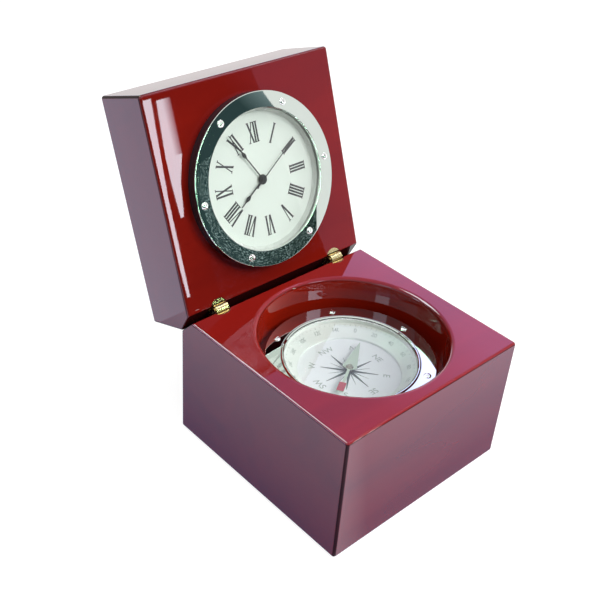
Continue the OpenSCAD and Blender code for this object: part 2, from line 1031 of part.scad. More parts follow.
// Axis along the coil's core, from the bobbin's left end
module at_coil() {
  at_clock()
    translate([bobbin_left, core_y, layer_top(stator_layer) - stator_t - core_t * half])
      rotate([0, 90, 0])
        children();
}

module coil_bobbin() {
  length = bobbin_right - bobbin_left;
  bore = sqrt(pow(core_w * half, 2) + pow(core_t * half, 2)) + bobbin_gap;
  color(grey_plastic)
    at_coil()
      difference() {
        union() {
          rod(bore + bobbin_wall, 0, length);
          rod(bobbin_flange_r, 0, bobbin_flange_t);
          rod(bobbin_flange_r, length - bobbin_flange_t, length);
        }
        rod(bore, -over, length + over);
      }
}

module coil_winding() {
  length = bobbin_right - bobbin_left;
  bore = sqrt(pow(core_w * half, 2) + pow(core_t * half, 2)) + bobbin_gap + bobbin_wall;
  color(copper)
    at_coil()
      translate([0, 0, bobbin_flange_t])
        tube(winding_r, bore, length - 2 * bobbin_flange_t);
}

// Iron plate that leads from both ends of the coil's core round the rotor
module stator() {
  high = layer_top(stator_layer);
  low = high - stator_t;
  pole_r = magnet_r + magnet_gap + pole_w;
  arm_low = core_y - core_w * half;
  color(steel)
    at_clock()
      difference() {
        union() {
          translate(rotor_at)
            rod(pole_r, low, high);
          bar(
            [core_left, rotor_at[1] - core_w * half, low],
            [rotor_at[0], rotor_at[1] + core_w * half, high]
          );
          bar([core_left, arm_low, low], [core_left + core_w, rotor_at[1], high]);
          bar([core_right - core_w, arm_low, low], [core_right, rotor_at[1], high]);
        }
        translate(rotor_at)
          rod(magnet_r + magnet_gap, low - over, high + over);
      }
}

module button_cell() {
  color(steel)
    at_clock()
      translate(cell_at)
        rod(cell_r, cell_back, cell_front);
}

module cell_spring() {
  color(brass)
    at_clock()
      translate(cell_at)
        rod(spring_r, cell_front, cell_seat);
}

// Contact strip across the cell's back
module cell_strip() {
  color(brass)
    at_clock()
      translate([cell_at[0], cell_at[1], cell_back - strip_t])
        bar([-strip_len * half, -strip_w * half, 0], [strip_len * half, strip_w * half, strip_t]);
}

// Wheels

module gear(teeth, size, low, high, phase) {
  pitch_r = teeth * size * half;
  tip_r = pitch_r + size * addendum_share;
  root_r = pitch_r - size * dedendum_share;
  step = 360 / teeth;
  translate([0, 0, low])
    rotate(phase)
      linear_extrude(high - low)
        polygon([
          for (n = [0 : teeth - 1])
            each [
              polar(root_r, (n - root_share * half) * step),
              polar(tip_r, (n - tip_share * half) * step),
              polar(tip_r, (n + tip_share * half) * step),
              polar(root_r, (n + root_share * half) * step)
            ]
        ]);
}

// Gear that fills one layer of the movement
module layer_gear(teeth, size, layer, phase) {
  gear(teeth, size, layer_top(layer) - wheel_t, layer_top(layer), phase);
}

module full_arbor() {
  rod(arbor_r, rear_z - pivot_len, plate_back + pivot_len);
}

module hour_wheel() {
  color(brass)
    at_clock()
      difference() {
        union() {
          layer_gear(hour_teeth, hour_module, hour_layer, hour_phase);
          rod(hour_pipe_r, layer_top(hour_layer) - wheel_t, dial_z + hour_lift + boss_h);
        }
        rod(hour_bore_r, layer_top(hour_layer) - wheel_t - over, dial_z + hour_lift + boss_h + over);
      }
}

module minute_pinion() {
  foot = layer_top(centre_layer) - wheel_t - fit_gap - collar_h;
  top = dial_z + minute_lift + boss_h;
  color(brass)
    at_clock()
      difference() {
        union() {
          rod(cannon_r, foot, top);
          rod(cannon_r + collar_w, foot, foot + collar_h);
          rod(cannon_r + collar_w, layer_top(centre_layer) + fit_gap, layer_top(motion_layer) - wheel_t);
          layer_gear(minute_teeth, motion_module, motion_layer, 0);
        }
        rod(cannon_bore_r, foot - over, top + over);
      }
}

module motion_wheel() {
  color(grey_plastic)
    at_clock()
      translate(motion_at)
        difference() {
          union() {
            layer_gear(motion_teeth, motion_module, motion_layer, motion_phase);
            gear(
              motion_pinion_teeth, hour_module,
              layer_top(motion_layer) - fit_gap, layer_top(hour_layer), 0
            );
          }
          rod(arbor_r + run_gap, layer_top(motion_layer) - wheel_t - over, layer_top(hour_layer) + over);
        }
}

module setting_stem() {
  color(grey_plastic)
    at_clock()
      translate(setting_at) {
        rod(arbor_r, layer_top(motion_layer), plate_back + pivot_len);
        layer_gear(setting_teeth, motion_module, motion_layer, setting_phase);
        rod(stem_r, back_z - knob_gap, layer_top(motion_layer) - wheel_t);
      }
}

module setting_knob() {
  top = back_z - knob_gap;
  color(black)
    at_clock()
      translate(setting_at)
        difference() {
          rod(knob_r, top - knob_h, top);
          for (n = [0 : knob_ribs - 1])
            rotate(n * 360 / knob_ribs)
              translate([knob_r, 0, 0])
                rod(knob_rib_r, top - knob_h - over, top + over);
        }
}

module second_wheel() {
  shoulder = layer_top(centre_layer) - wheel_t - 2 * fit_gap - collar_h;
  color(brass)
    at_clock() {
      rod(arbor_r, rear_z - pivot_len, layer_top(second_layer));
      layer_gear(second_teeth, second_module, second_layer, 0);
      gear(second_pinion_teeth, third_module, layer_top(second_layer) - fit_gap, layer_top(third_layer), 0);
      rod(second_arbor_r + collar_w, layer_top(third_layer) + fit_gap, shoulder);
      rod(second_arbor_r, layer_top(second_layer) - fit_gap, dial_z + second_lift + boss_h);
    }
}

module third_wheel() {
  color(grey_plastic)
    at_clock()
      translate(third_at) {
        full_arbor();
        layer_gear(third_teeth, third_module, third_layer, third_phase);
        layer_gear(third_pinion_teeth, centre_module, centre_layer, 0);
      }
}

// Minute wheel of the train, which slips on the minute pinion when the hands are set
module centre_wheel() {
  color(grey_plastic)
    at_clock()
      difference() {
        layer_gear(centre_teeth, centre_module, centre_layer, centre_phase);
        rod(cannon_r + run_gap, layer_top(centre_layer) - wheel_t - over, layer_top(centre_layer) + over);
      }
}

module intermediate_wheel() {
  color(grey_plastic)
    at_clock()
      translate(intermediate_at) {
        full_arbor();
        layer_gear(intermediate_teeth, rotor_module, rotor_layer, 0);
        layer_gear(intermediate_pinion_teeth, second_module, second_layer, intermediate_phase);
      }
}

module rotor_arbor() {
  color(grey_plastic)
    at_clock()
      translate(rotor_at) {
        full_arbor();
        layer_gear(rotor_teeth, rotor_module, rotor_layer, rotor_phase);
      }
}

module rotor_magnet() {
  middle = layer_top(stator_layer) - stator_t * half;
  color(steel)
    at_clock()
      translate(rotor_at)
        translate([0, 0, middle - magnet_h * half])
          tube(magnet_r, arbor_r, magnet_h);
}

// Hands, each drawn pointing at 12

// Outline of a hand with a thin stem and a pointed bulge, right side then left side
module leaf_hand(length, bulge_at, bulge_w, stem_w) {
  bulge_half = bulge_w * bulge_len_share;
  side = [
    [stem_w * half, 0],
    [stem_w * half, bulge_at - bulge_half],
    [bulge_w * half, bulge_at],
    [stem_w * half, bulge_at + bulge_half],
    [stem_w * tip_w_share, length]
  ];
  polygon(concat(side, [for (n = [len(side) - 1 : -1 : 0]) [-side[n][0], side[n][1]]]));
}
bulge_len_share = 0.95;
tip_w_share = 0.3;
bulge_w = 2;
stem_w = 0.5;
second_w = 0.36;
tail_r = 0.55;
hour_bulge_share = 0.69;
minute_bulge_share = 0.56;

module hand_on_pipe(angle, lift, pipe_r) {
  at_clock()
    rotate(-angle)
      translate([0, 0, dial_z + lift])
        difference() {
          union() {
            rod(pipe_r + boss_w, 0, boss_h);
            linear_extrude(hand_t)
              children();
          }
          rod(pipe_r, -over, over);
        }
}

module hour_hand() {
  color(black)
    hand_on_pipe(hour_angle, hour_lift, hour_pipe_r)
      leaf_hand(hour_len, hour_len * hour_bulge_share, bulge_w, stem_w);
}

module minute_hand() {
  color(black)
    hand_on_pipe(minute_angle, minute_lift, cannon_r)
      leaf_hand(minute_len, minute_len * minute_bulge_share, bulge_w, stem_w);
}

module second_hand() {
  color(black)
    hand_on_pipe(second_angle, second_lift, second_arbor_r) {
      translate([-second_w * half, -second_tail])
        square([second_w, second_tail + second_len]);
      translate([0, -second_tail])
        circle(tail_r);
    }
}

base_block();
base_felt();
compass_case();
compass_band();
compass_capsule();
compass_card();
degree_ring();
compass_crystal();
compass_rim();
compass_bezel();
compass_bezel_screws();
compass_pivot();
compass_needle();
needle_cap();
hinge_base_half(-1);  // left_hinge_base_half
hinge_base_half(1);  // right_hinge_base_half
hinge_lid_half(-1);  // left_hinge_lid_half
hinge_lid_half(1);  // right_hinge_lid_half
hinge_pin(-1);  // left_hinge_pin
hinge_pin(1);  // right_hinge_pin
lid_block();
clock_case();
clock_band();
battery_hatch();
clock_bezel();
clock_bezel_screws();
clock_crystal();
dial_ring();
clock_dial();
movement_front();
movement_rear();
movement_screws();
circuit_board();
circuit_chip();
quartz_can();
coil_core();
coil_bobbin();
coil_winding();
stator();
button_cell();
cell_spring();
cell_strip();
hour_wheel();
hour_hand();
minute_pinion();
minute_hand();
motion_wheel();
setting_stem();
setting_knob();
second_wheel();
second_hand();
third_wheel();
centre_wheel();
intermediate_wheel();
rotor_arbor();
rotor_magnet();
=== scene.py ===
import math

import bmesh
import bpy
from mathutils import Matrix, Vector


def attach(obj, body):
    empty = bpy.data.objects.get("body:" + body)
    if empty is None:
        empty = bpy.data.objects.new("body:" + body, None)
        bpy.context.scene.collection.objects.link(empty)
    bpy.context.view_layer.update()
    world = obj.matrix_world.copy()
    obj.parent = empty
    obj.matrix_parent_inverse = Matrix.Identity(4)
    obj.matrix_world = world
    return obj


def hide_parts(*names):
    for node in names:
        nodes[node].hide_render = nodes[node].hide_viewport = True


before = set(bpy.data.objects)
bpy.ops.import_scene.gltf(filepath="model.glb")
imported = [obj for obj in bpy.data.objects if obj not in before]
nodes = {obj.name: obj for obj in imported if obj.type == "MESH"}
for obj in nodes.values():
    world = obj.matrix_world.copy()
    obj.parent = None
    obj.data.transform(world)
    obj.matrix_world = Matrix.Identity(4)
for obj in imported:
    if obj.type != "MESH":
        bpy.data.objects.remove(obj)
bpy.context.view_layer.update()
print("frame loaded:", len(nodes), "nodes")

mm = 0.001
near = 0.01  # within this many millimetres two places count as one
overshoot = 1  # how many millimetres a cutter stands out of what it cuts
sides = {"bore": 160, "glass": 128, "barrel": 48, "small": 40}  # of a full round


def moved(x, y, z):
    return Matrix.Translation(Vector((x, y, z)) * mm)


def turned(degrees, axis="Z"):
    return Matrix.Rotation(math.radians(degrees), 4, axis)


# Places of the box, in millimetres
box = {
    "width": 100,
    "baseTop": 61.5,
    "footGap": 0.3,
    "lidHeight": 29.5,
    "cornerRadius": 1.4,
    "edgeRadius": 1.2,
    "roundSteps": 6,
    "closingGap": 0.3,
    "openAngle": 110,
    "hingeInset": 5.8,
    "bevelRun": 7.8,
    "bevelDrop": 8.233,
    "bevelEdge": 0.35,
    "bevelSteps": 3,
    "hingeX": 33.8,
    "barrelBore": 4.55,
    "barrelDepth": 12,
    "insertForward": 2.9,
    "recessRadius": 40.2,
    "recessDepth": 18,
    "rimRadius": 2,
    "boreRadius": 33.5,
    "compassBore": 6.8,
    "clockBore": 18.2,
    "feltWidth": 88,
    "feltPocket": 0.9,
}
faceHeight = -box["closingGap"] / 2
hingeReach = box["width"] / 2 - box["hingeInset"]
insertReach = hingeReach + box["insertForward"]

basePlace = moved(0, hingeReach, box["baseTop"] + box["closingGap"] / 2)
lidPlace = basePlace @ turned(180 - box["openAngle"], "X")
clockPlace = lidPlace @ moved(0, insertReach, faceHeight)
compassPlace = moved(0, -box["insertForward"], box["baseTop"] - box["recessDepth"])


# Modelling helpers


def clearSelection():
    if bpy.context.object and bpy.context.object.mode != "OBJECT":
        bpy.ops.object.mode_set(mode="OBJECT")
    bpy.ops.object.select_all(action="DESELECT")


def makeActive(piece):
    clearSelection()
    piece.select_set(True)
    bpy.context.view_layer.objects.active = piece


def openMesh(piece):
    makeActive(piece)
    bpy.ops.object.mode_set(mode="EDIT")
    bpy.ops.mesh.select_all(action="SELECT")


def closeMesh():
    bpy.ops.object.mode_set(mode="OBJECT")


def namePiece(name):
    piece = bpy.context.object
    piece.name = name
    piece.data.name = name
    return piece


def pick(piece, kind, test):
    # Selects the faces, edges or points of a piece in edit mode that pass a test
    mesh = bmesh.from_edit_mesh(piece.data)
    bpy.ops.mesh.select_mode(type=kind)
    bpy.ops.mesh.select_all(action="DESELECT")
    group = {"VERT": mesh.verts, "EDGE": mesh.edges, "FACE": mesh.faces}[kind]
    mesh.normal_update()
    for item in group:
        if test(item):
            item.select_set(True)
    mesh.select_flush_mode()
    bmesh.update_edit_mesh(piece.data)


def edgeMiddle(edge):
    return (edge.verts[0].co + edge.verts[1].co) / 2 / mm


def edgeAlong(edge):
    return (edge.verts[1].co - edge.verts[0].co).normalized()


def softenEdges(radius, steps):
    bpy.ops.mesh.bevel(offset=radius * mm, segments=steps, affect="EDGES", clamp_overlap=True)


def roundCorners(piece, radius, steps):
    # Rounds the upright edges of a piece in edit mode
    pick(piece, "EDGE", lambda edge: abs(edgeAlong(edge).z) > 1 - near)
    softenEdges(radius, steps)


def mendShell(piece, gap=0.002):
    openMesh(piece)
    bpy.ops.mesh.remove_doubles(threshold=gap * mm)
    bpy.ops.mesh.normals_make_consistent(inside=False)
    closeMesh()


def smoothPiece(piece, angle=32):
    makeActive(piece)
    bpy.ops.object.shade_smooth_by_angle(angle=math.radians(angle))
    weights = piece.modifiers.new("evenShading", "WEIGHTED_NORMAL")
    weights.keep_sharp = True
    bpy.ops.object.modifier_apply(modifier=weights.name)


def cutWith(piece, cutter):
    makeActive(piece)
    cut = piece.modifiers.new("cut", "BOOLEAN")
    cut.operation = "DIFFERENCE"
    cut.solver = "EXACT"
    cut.object = cutter
    bpy.ops.object.modifier_apply(modifier=cut.name)
    bpy.data.objects.remove(cutter)


def applyPlace():
    bpy.ops.object.transform_apply(location=True, rotation=True, scale=True)


def settle(piece, place):
    # Moves a piece to its place and leaves its object at the origin
    piece.matrix_world = place @ piece.matrix_world
    makeActive(piece)
    applyPlace()


def addBlock(name, size, middle=(0, 0, 0)):
    clearSelection()
    bpy.ops.mesh.primitive_cube_add(size=1, location=Vector(middle) * mm, scale=Vector(size) * mm)
    applyPlace()
    return namePiece(name)


def turnProfile(name, points, steps):
    # Draws a line through points (radius, height) and spins it about the upright axis
    clearSelection()
    bpy.ops.mesh.primitive_plane_add(size=mm)
    piece = namePiece(name)
    openMesh(piece)
    bpy.ops.mesh.select_mode(type="VERT")
    bpy.ops.mesh.merge(type="CENTER")
    here = Vector((0, 0, 0))
    for index, (radius, height) in enumerate(points):
        there = Vector((radius, 0, height)) * mm
        if index == 0:
            bpy.ops.transform.translate(value=there - here)
        else:
            bpy.ops.mesh.extrude_vertices_move(TRANSFORM_OT_translate={"value": there - here})
        here = there
    bpy.ops.mesh.select_all(action="SELECT")
    bpy.ops.mesh.spin(steps=steps, angle=math.tau, center=(0, 0, 0), axis=(0, 0, 1))
    mendShell(piece, 0.004)
    return piece


def domeLine(radius, edge, top, steps=6):
    # Quarter round from its rim (radius, edge) to its middle (0, top)
    turns = [step / steps * math.pi / 2 for step in range(steps)]
    return [(radius * math.cos(turn), edge + (top - edge) * math.sin(turn)) for turn in turns] + [(0, top)]


def ringSection(corners, soft, steps=3, most=0.45):
    # Closed section whose corners are rounded by the radius soft, over most of each side at the most
    line = []
    for index, point in enumerate(corners):
        corner = Vector(point)
        before = Vector(corners[index - 1]) - corner
        after = Vector(corners[(index + 1) % len(corners)]) - corner
        reach = min(soft, before.length * most, after.length * most)
        start = corner + before.normalized() * reach
        end = corner + after.normalized() * reach
        for step in range(steps + 1):
            share = step / steps
            line.append((1 - share) ** 2 * start + 2 * share * (1 - share) * corner + share**2 * end)
    return [tuple(point) for point in line] + [tuple(line[0])]


def copyPiece(piece, name, place):
    twin = piece.copy()
    twin.data = piece.data.copy()
    twin.name = name
    twin.data.name = name
    bpy.context.scene.collection.objects.link(twin)
    settle(twin, place)
    return twin


def stampCopies(master, places):
    # A copy of a small piece at each place, after which the piece itself goes
    copies = [copyPiece(master, f"{master.name}_{index}", place) for index, place in enumerate(places)]
    bpy.data.objects.remove(master)
    return copies


def joinPieces(pieces, name):
    makeActive(pieces[0])
    for piece in pieces:
        piece.select_set(True)
    bpy.ops.object.join()
    return namePiece(name)


def dress(piece, finish, body, slot, *replaced):
    piece.data.materials.clear()
    piece.data.materials.append(finishes[finish])
    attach(piece, body)
    if replaced:
        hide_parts(*replaced)


def finishPiece(piece, place, *dressing):
    settle(piece, place)
    mendShell(piece)
    smoothPiece(piece)
    dress(piece, *dressing)


# Finishes


def feed(node, inputs):
    # Sets a node's inputs to values, or links them to the sockets that feed them
    for key, value in inputs.items():
        if isinstance(value, bpy.types.NodeSocket):
            node.id_data.links.new(value, node.inputs[key])
        else:
            node.inputs[key].default_value = value


def addNode(tree, kind, inputs=(), **settings):
    node = tree.nodes.new(kind)
    for key, value in settings.items():
        setattr(node, key, value)
    feed(node, dict(inputs))
    return node


def addMath(tree, operation, first, second, **settings):
    node = addNode(tree, "ShaderNodeMath", {0: first, 1: second}, operation=operation, **settings)
    return node.outputs["Value"]


def addNoise(tree, vector, scale, detail, distortion=0):
    inputs = {"Vector": vector, "Scale": scale, "Detail": detail, "Distortion": distortion}
    return addNode(tree, "ShaderNodeTexNoise", inputs).outputs["Fac"]


def mixColours(tree, share, first, second):
    inputs = {"Factor": share, "A": first, "B": second}
    return addNode(tree, "ShaderNodeMix", inputs, data_type="RGBA").outputs["Result"]


def mixShaders(tree, share, first, second):
    return addNode(tree, "ShaderNodeMixShader", {"Fac": share, 1: first, 2: second}).outputs["Shader"]


def mapRange(tree, value, start, end, low=0, high=1):
    inputs = {"Value": value, "From Min": start, "From Max": end, "To Min": low, "To Max": high}
    return addNode(tree, "ShaderNodeMapRange", inputs).outputs["Result"]


def startGroup(name, inputs):
    # New group: an input without a value is a vector, and the others are colours or numbers
    group = bpy.data.node_groups.new(name, "ShaderNodeTree")
    for label, value in inputs.items():
        kind = "Vector" if value is None else "Color" if isinstance(value, tuple) else "Float"
        socket = group.interface.new_socket(label, in_out="INPUT", socket_type="NodeSocket" + kind)
        if value is not None:
            socket.default_value = value
    return group, addNode(group, "NodeGroupInput").outputs


def endGroup(group, outputs):
    for label, socket in outputs.items():
        kind = "Color" if socket.type == "RGBA" else "Float"
        group.interface.new_socket(label, in_out="OUTPUT", socket_type="NodeSocket" + kind)
    addNode(group, "NodeGroupOutput", outputs)
    return group


wanderValues = {"detail": 5, "span": (0.3, 0.7)}
grainValues = {"bandDetail": 3, "bandWaver": 0.6, "bandSpan": (0.35, 0.68),
               "poreDetail": 2, "poreSpan": (0.56, 0.72)}


def blendGroup():
    # Patches between two colours
    group, enter = startGroup("colourPatches", {
        "Vector": None, "Colour": (0.5, 0.5, 0.5, 1), "Second Colour": (0.4, 0.4, 0.4, 1),
        "Scale": 100, "Detail": 4, "Amount": 0.5,
    })
    noise = addNoise(group, enter["Vector"], enter["Scale"], enter["Detail"])
    amount = addMath(group, "MULTIPLY", noise, enter["Amount"])
    colour = mixColours(group, amount, enter["Colour"], enter["Second Colour"])
    return endGroup(group, {"Colour": colour, "Mask": noise})


def rangeGroup():
    # Noise that wanders between a low and a high value, for gloss and fine relief
    group, enter = startGroup("wanderingValue", {"Vector": None, "Scale": 100, "Low": 0.1, "High": 0.2})
    noise = addNoise(group, enter["Vector"], enter["Scale"], wanderValues["detail"])
    value = mapRange(group, noise, *wanderValues["span"], enter["Low"], enter["High"])
    return endGroup(group, {"Value": value})


def grainGroup():
    # Long dark pores and bands of a red hardwood
    group, enter = startGroup("hardwoodGrain", {
        "Vector": None, "Light Wood": (0.3, 0.02, 0.02, 1), "Dark Wood": (0.1, 0.01, 0.01, 1),
        "Band Scale": 60, "Pore Scale": 900, "Pore Strength": 0.3,
    })
    values = grainValues
    bands = addNoise(group, enter["Vector"], enter["Band Scale"], values["bandDetail"], values["bandWaver"])
    pores = addNoise(group, enter["Vector"], enter["Pore Scale"], values["poreDetail"])
    pores = addMath(group, "MULTIPLY", mapRange(group, pores, *values["poreSpan"]), enter["Pore Strength"])
    darker = addMath(group, "MAXIMUM", mapRange(group, bands, *values["bandSpan"]), pores)
    return endGroup(group, {"Colour": mixColours(group, darker, enter["Light Wood"], enter["Dark Wood"])})


colourPatches = blendGroup()
wanderingValue = rangeGroup()
hardwoodGrain = grainGroup()


def emptyMaterial(name):
    material = bpy.data.materials.new(name)
    material.use_nodes = True
    material.node_tree.nodes.clear()
    return material, material.node_tree


def startFinish(name):
    finish, tree = emptyMaterial(name)
    shader = addNode(tree, "ShaderNodeBsdfPrincipled")
    addNode(tree, "ShaderNodeOutputMaterial", {"Surface": shader.outputs["BSDF"]})
    return finish, tree, shader, addNode(tree, "ShaderNodeTexCoord").outputs["Object"]


def placeGroup(tree, group, vector, inputs):
    return addNode(tree, "ShaderNodeGroup", {"Vector": vector, **inputs}, node_tree=group)


def addPatches(tree, vector, colours, scale, amount, detail=4):
    return placeGroup(tree, colourPatches, vector, {
        "Colour": (*colours[0], 1), "Second Colour": (*colours[1], 1),
        "Scale": scale, "Amount": amount, "Detail": detail,
    })


def wander(tree, vector, scale, low=0, high=1):
    inputs = {"Scale": scale, "Low": low, "High": high}
    return placeGroup(tree, wanderingValue, vector, inputs).outputs["Value"]


def addBump(shader, height, depth):
    inputs = {"Height": height, "Strength": 1, "Distance": depth * mm}
    bump = addNode(shader.id_data, "ShaderNodeBump", inputs)
    feed(shader, {"Normal": bump.outputs["Normal"]})


def makeFinish(name, values, amount=0.6, finer=2):
    finish, tree, shader, vector = startFinish(name)
    feed(shader, {
        "Base Color": addPatches(tree, vector, values["colours"], values["scale"], amount).outputs["Colour"],
        "Roughness": wander(tree, vector, values["scale"] * finer, *values["rough"]),
        "Metallic": values.get("metal", 0),
        "Specular IOR Level": values.get("specular", 0.5),
    })
    if "relief" in values:
        scale, depth = values["relief"]
        addBump(shader, wander(tree, vector, scale), depth)
    return finish


finishValues = {
    "polishedChrome": {"colours": ((0.74, 0.8, 0.75), (0.66, 0.73, 0.68)), "scale": 90,
                       "rough": (0.008, 0.025), "metal": 1, "relief": (700, 0.0003)},
    "screwHead": {"colours": ((0.93, 0.93, 0.92), (0.8, 0.8, 0.8)), "scale": 400,
                  "rough": (0.12, 0.22), "metal": 1},
    "skirtBlack": {"colours": ((0.02, 0.014, 0.018), (0.035, 0.026, 0.03)), "scale": 300,
                   "rough": (0.12, 0.25)},
    "hingeBrass": {"colours": ((0.84, 0.7, 0.4), (0.5, 0.4, 0.18)), "scale": 500,
                   "rough": (0.1, 0.26), "metal": 1, "relief": (1500, 0.004)},
    "pivotBrass": {"colours": ((0.36, 0.36, 0.28), (0.2, 0.22, 0.18)), "scale": 900,
                   "rough": (0.15, 0.3), "metal": 1},
    "gearBrass": {"colours": ((0.8, 0.6, 0.26), (0.62, 0.43, 0.17)), "scale": 700,
                  "rough": (0.22, 0.38), "metal": 1, "relief": (2500, 0.002)},
    "plainSteel": {"colours": ((0.56, 0.57, 0.59), (0.44, 0.45, 0.47)), "scale": 600,
                   "rough": (0.25, 0.42), "metal": 1, "relief": (2500, 0.002)},
    "cellSteel": {"colours": ((0.75, 0.76, 0.78), (0.6, 0.61, 0.63)), "scale": 500,
                  "rough": (0.12, 0.25), "metal": 1},
    "magnetBlack": {"colours": ((0.08, 0.08, 0.09), (0.03, 0.03, 0.035)), "scale": 900,
                    "rough": (0.4, 0.6), "metal": 0.6},
    "bandRubber": {"colours": ((0.025, 0.025, 0.027), (0.045, 0.045, 0.045)), "scale": 700,
                   "rough": (0.6, 0.8), "relief": (3000, 0.01)},
    "clockCasePlastic": {"colours": ((0.3, 0.31, 0.33), (0.26, 0.27, 0.29)), "scale": 500,
                         "rough": (0.42, 0.58), "relief": (2200, 0.006)},
    "compassCasePlastic": {"colours": ((0.02, 0.02, 0.022), (0.035, 0.035, 0.038)), "scale": 500,
                           "rough": (0.3, 0.45), "relief": (2200, 0.005)},
    "capsulePlastic": {"colours": ((0.72, 0.78, 0.73), (0.65, 0.72, 0.67)), "scale": 300,
                       "rough": (0.25, 0.4), "relief": (1800, 0.003)},
    "gearPlastic": {"colours": ((0.82, 0.82, 0.79), (0.72, 0.72, 0.69)), "scale": 700,
                    "rough": (0.35, 0.5), "relief": (2500, 0.002)},
    "knobPlastic": {"colours": ((0.03, 0.03, 0.032), (0.05, 0.05, 0.05)), "scale": 700,
                    "rough": (0.35, 0.5), "relief": (2500, 0.004)},
    "chipBlack": {"colours": ((0.015, 0.015, 0.017), (0.03, 0.03, 0.03)), "scale": 900,
                  "rough": (0.45, 0.65), "relief": (3000, 0.003)},
    "dialPaint": {"colours": ((0.81, 0.89, 0.82), (0.78, 0.87, 0.79)), "scale": 60,
                  "rough": (0.42, 0.55), "relief": (3500, 0.001)},
    "dialRingPaint": {"colours": ((0.74, 0.8, 0.74), (0.68, 0.74, 0.68)), "scale": 90,
                      "rough": (0.2, 0.32), "relief": (2500, 0.001)},
    "cardPaint": {"colours": ((0.94, 0.98, 0.99), (0.9, 0.95, 0.97)), "scale": 80,
                  "rough": (0.4, 0.55), "relief": (3000, 0.001)},
    "degreePaint": {"colours": ((0.91, 0.97, 0.92), (0.86, 0.93, 0.88)), "scale": 80,
                    "rough": (0.35, 0.5), "relief": (3000, 0.001)},
    "inkBlack": {"colours": ((0.012, 0.012, 0.014), (0.04, 0.04, 0.045)), "scale": 900,
                 "rough": (0.35, 0.55)},
    "inkGrey": {"colours": ((0.36, 0.43, 0.39), (0.48, 0.55, 0.5)), "scale": 900, "rough": (0.4, 0.6)},
    "inkRose": {"colours": ((0.03, 0.05, 0.045), (0.08, 0.11, 0.1)), "scale": 600, "rough": (0.4, 0.6)},
    "handBlack": {"colours": ((0.012, 0.012, 0.013), (0.03, 0.03, 0.032)), "scale": 900,
                  "rough": (0.3, 0.45), "specular": 0.3},
    "needleGreen": {"colours": ((0.56, 0.68, 0.56), (0.44, 0.56, 0.45)), "scale": 500, "rough": (0.4, 0.55)},
    "needleRed": {"colours": ((0.45, 0.035, 0.06), (0.33, 0.025, 0.045)), "scale": 700, "rough": (0.3, 0.45)},
    "boardGreen": {"colours": ((0.02, 0.14, 0.06), (0.05, 0.26, 0.1)), "scale": 450,
                   "rough": (0.3, 0.42), "relief": (900, 0.02)},
}
finishes = {name: makeFinish(name, values) for name, values in finishValues.items()}

lacquerValues = {
    "light": (0.15, 0.0075, 0.004),
    "dark": (0.115, 0.0055, 0.004),
    "bandScale": 38,
    "poreScale": 520,
    "poreStrength": 0.3,
    "stretch": (0.14, 1, 1),
    "rough": (0.008, 0.02),
    "glossScale": 200,
    "specular": 0.5,
    "specularTint": (0.85, 0.8, 1, 1),
}

# Lit and shaded copies of the lacquer for parts of the box, differing in colour and reflection: painted light
# and painted shade
lacquerParts = {
    "cherryLacquer": {},
    # Painted light: the base top is painted lighter and has its own reflection tint
    "paintedLightTopLacquer": {
        "light": (0.22, 0.009, 0.006), "dark": (0.17, 0.007, 0.006), "specularTint": (0.9, 0.6, 1, 1),
    },
    # Painted shade: a dark copy with a weak reflection for the rounded edges and the bevel
    "paintedShadeEdgeLacquer": {
        "light": (0.035, 0.004, 0.004), "dark": (0.025, 0.003, 0.003), "specular": 0.12,
    },
    # Painted light: the lid's inner face has its own colour and a weaker, pinker reflection
    "paintedLightInnerLacquer": {
        "light": (0.168, 0.0066, 0.0027), "dark": (0.128, 0.0049, 0.0026),
        "specular": 0.35, "specularTint": (1, 0.58, 1, 1),
    },
    # Painted light: the recess is painted lighter and has a weaker reflection
    "paintedLightRecessLacquer": {
        "light": (0.29, 0.0115, 0.003), "dark": (0.2, 0.008, 0.003), "specular": 0.24,
    },
}


def makeLacquer(name, values):
    finish, tree, shader, vector = startFinish(name)
    stretch = addNode(tree, "ShaderNodeMapping", {"Vector": vector, "Scale": values["stretch"]})
    vector = stretch.outputs["Vector"]
    grain = placeGroup(tree, hardwoodGrain, vector, {
        "Light Wood": (*values["light"], 1), "Dark Wood": (*values["dark"], 1),
        "Band Scale": values["bandScale"], "Pore Scale": values["poreScale"],
        "Pore Strength": values["poreStrength"],
    })
    feed(shader, {
        "Base Color": grain.outputs["Colour"],
        "Roughness": wander(tree, vector, values["glossScale"], *values["rough"]),
        "Specular IOR Level": values["specular"],
        "Specular Tint": values["specularTint"],
    })
    return finish


for name, changes in lacquerParts.items():
    finishes[name] = makeLacquer(name, {**lacquerValues, **changes})

feltValues = {"colours": ((0.012, 0.012, 0.013), (0.035, 0.035, 0.037)), "scale": 2200, "detail": 8,
              "nap": 0.12, "rough": 0.95, "sheen": 0.5}


def makeFelt(name, values):
    finish, tree, shader, vector = startFinish(name)
    fibres = addPatches(tree, vector, values["colours"], values["scale"], 1, values["detail"])
    addBump(shader, fibres.outputs["Mask"], values["nap"])
    feed(shader, {
        "Base Color": fibres.outputs["Colour"], "Roughness": values["rough"], "Sheen Weight": values["sheen"],
    })
    return finish


finishes["padFelt"] = makeFelt("padFelt", feltValues)

windingValues = {"colours": ((0.6, 0.22, 0.08), (0.3, 0.09, 0.03)), "scale": 416.67, "waver": 0.4,
                 "groove": 0.048, "metal": 0.9, "rough": 0.3}


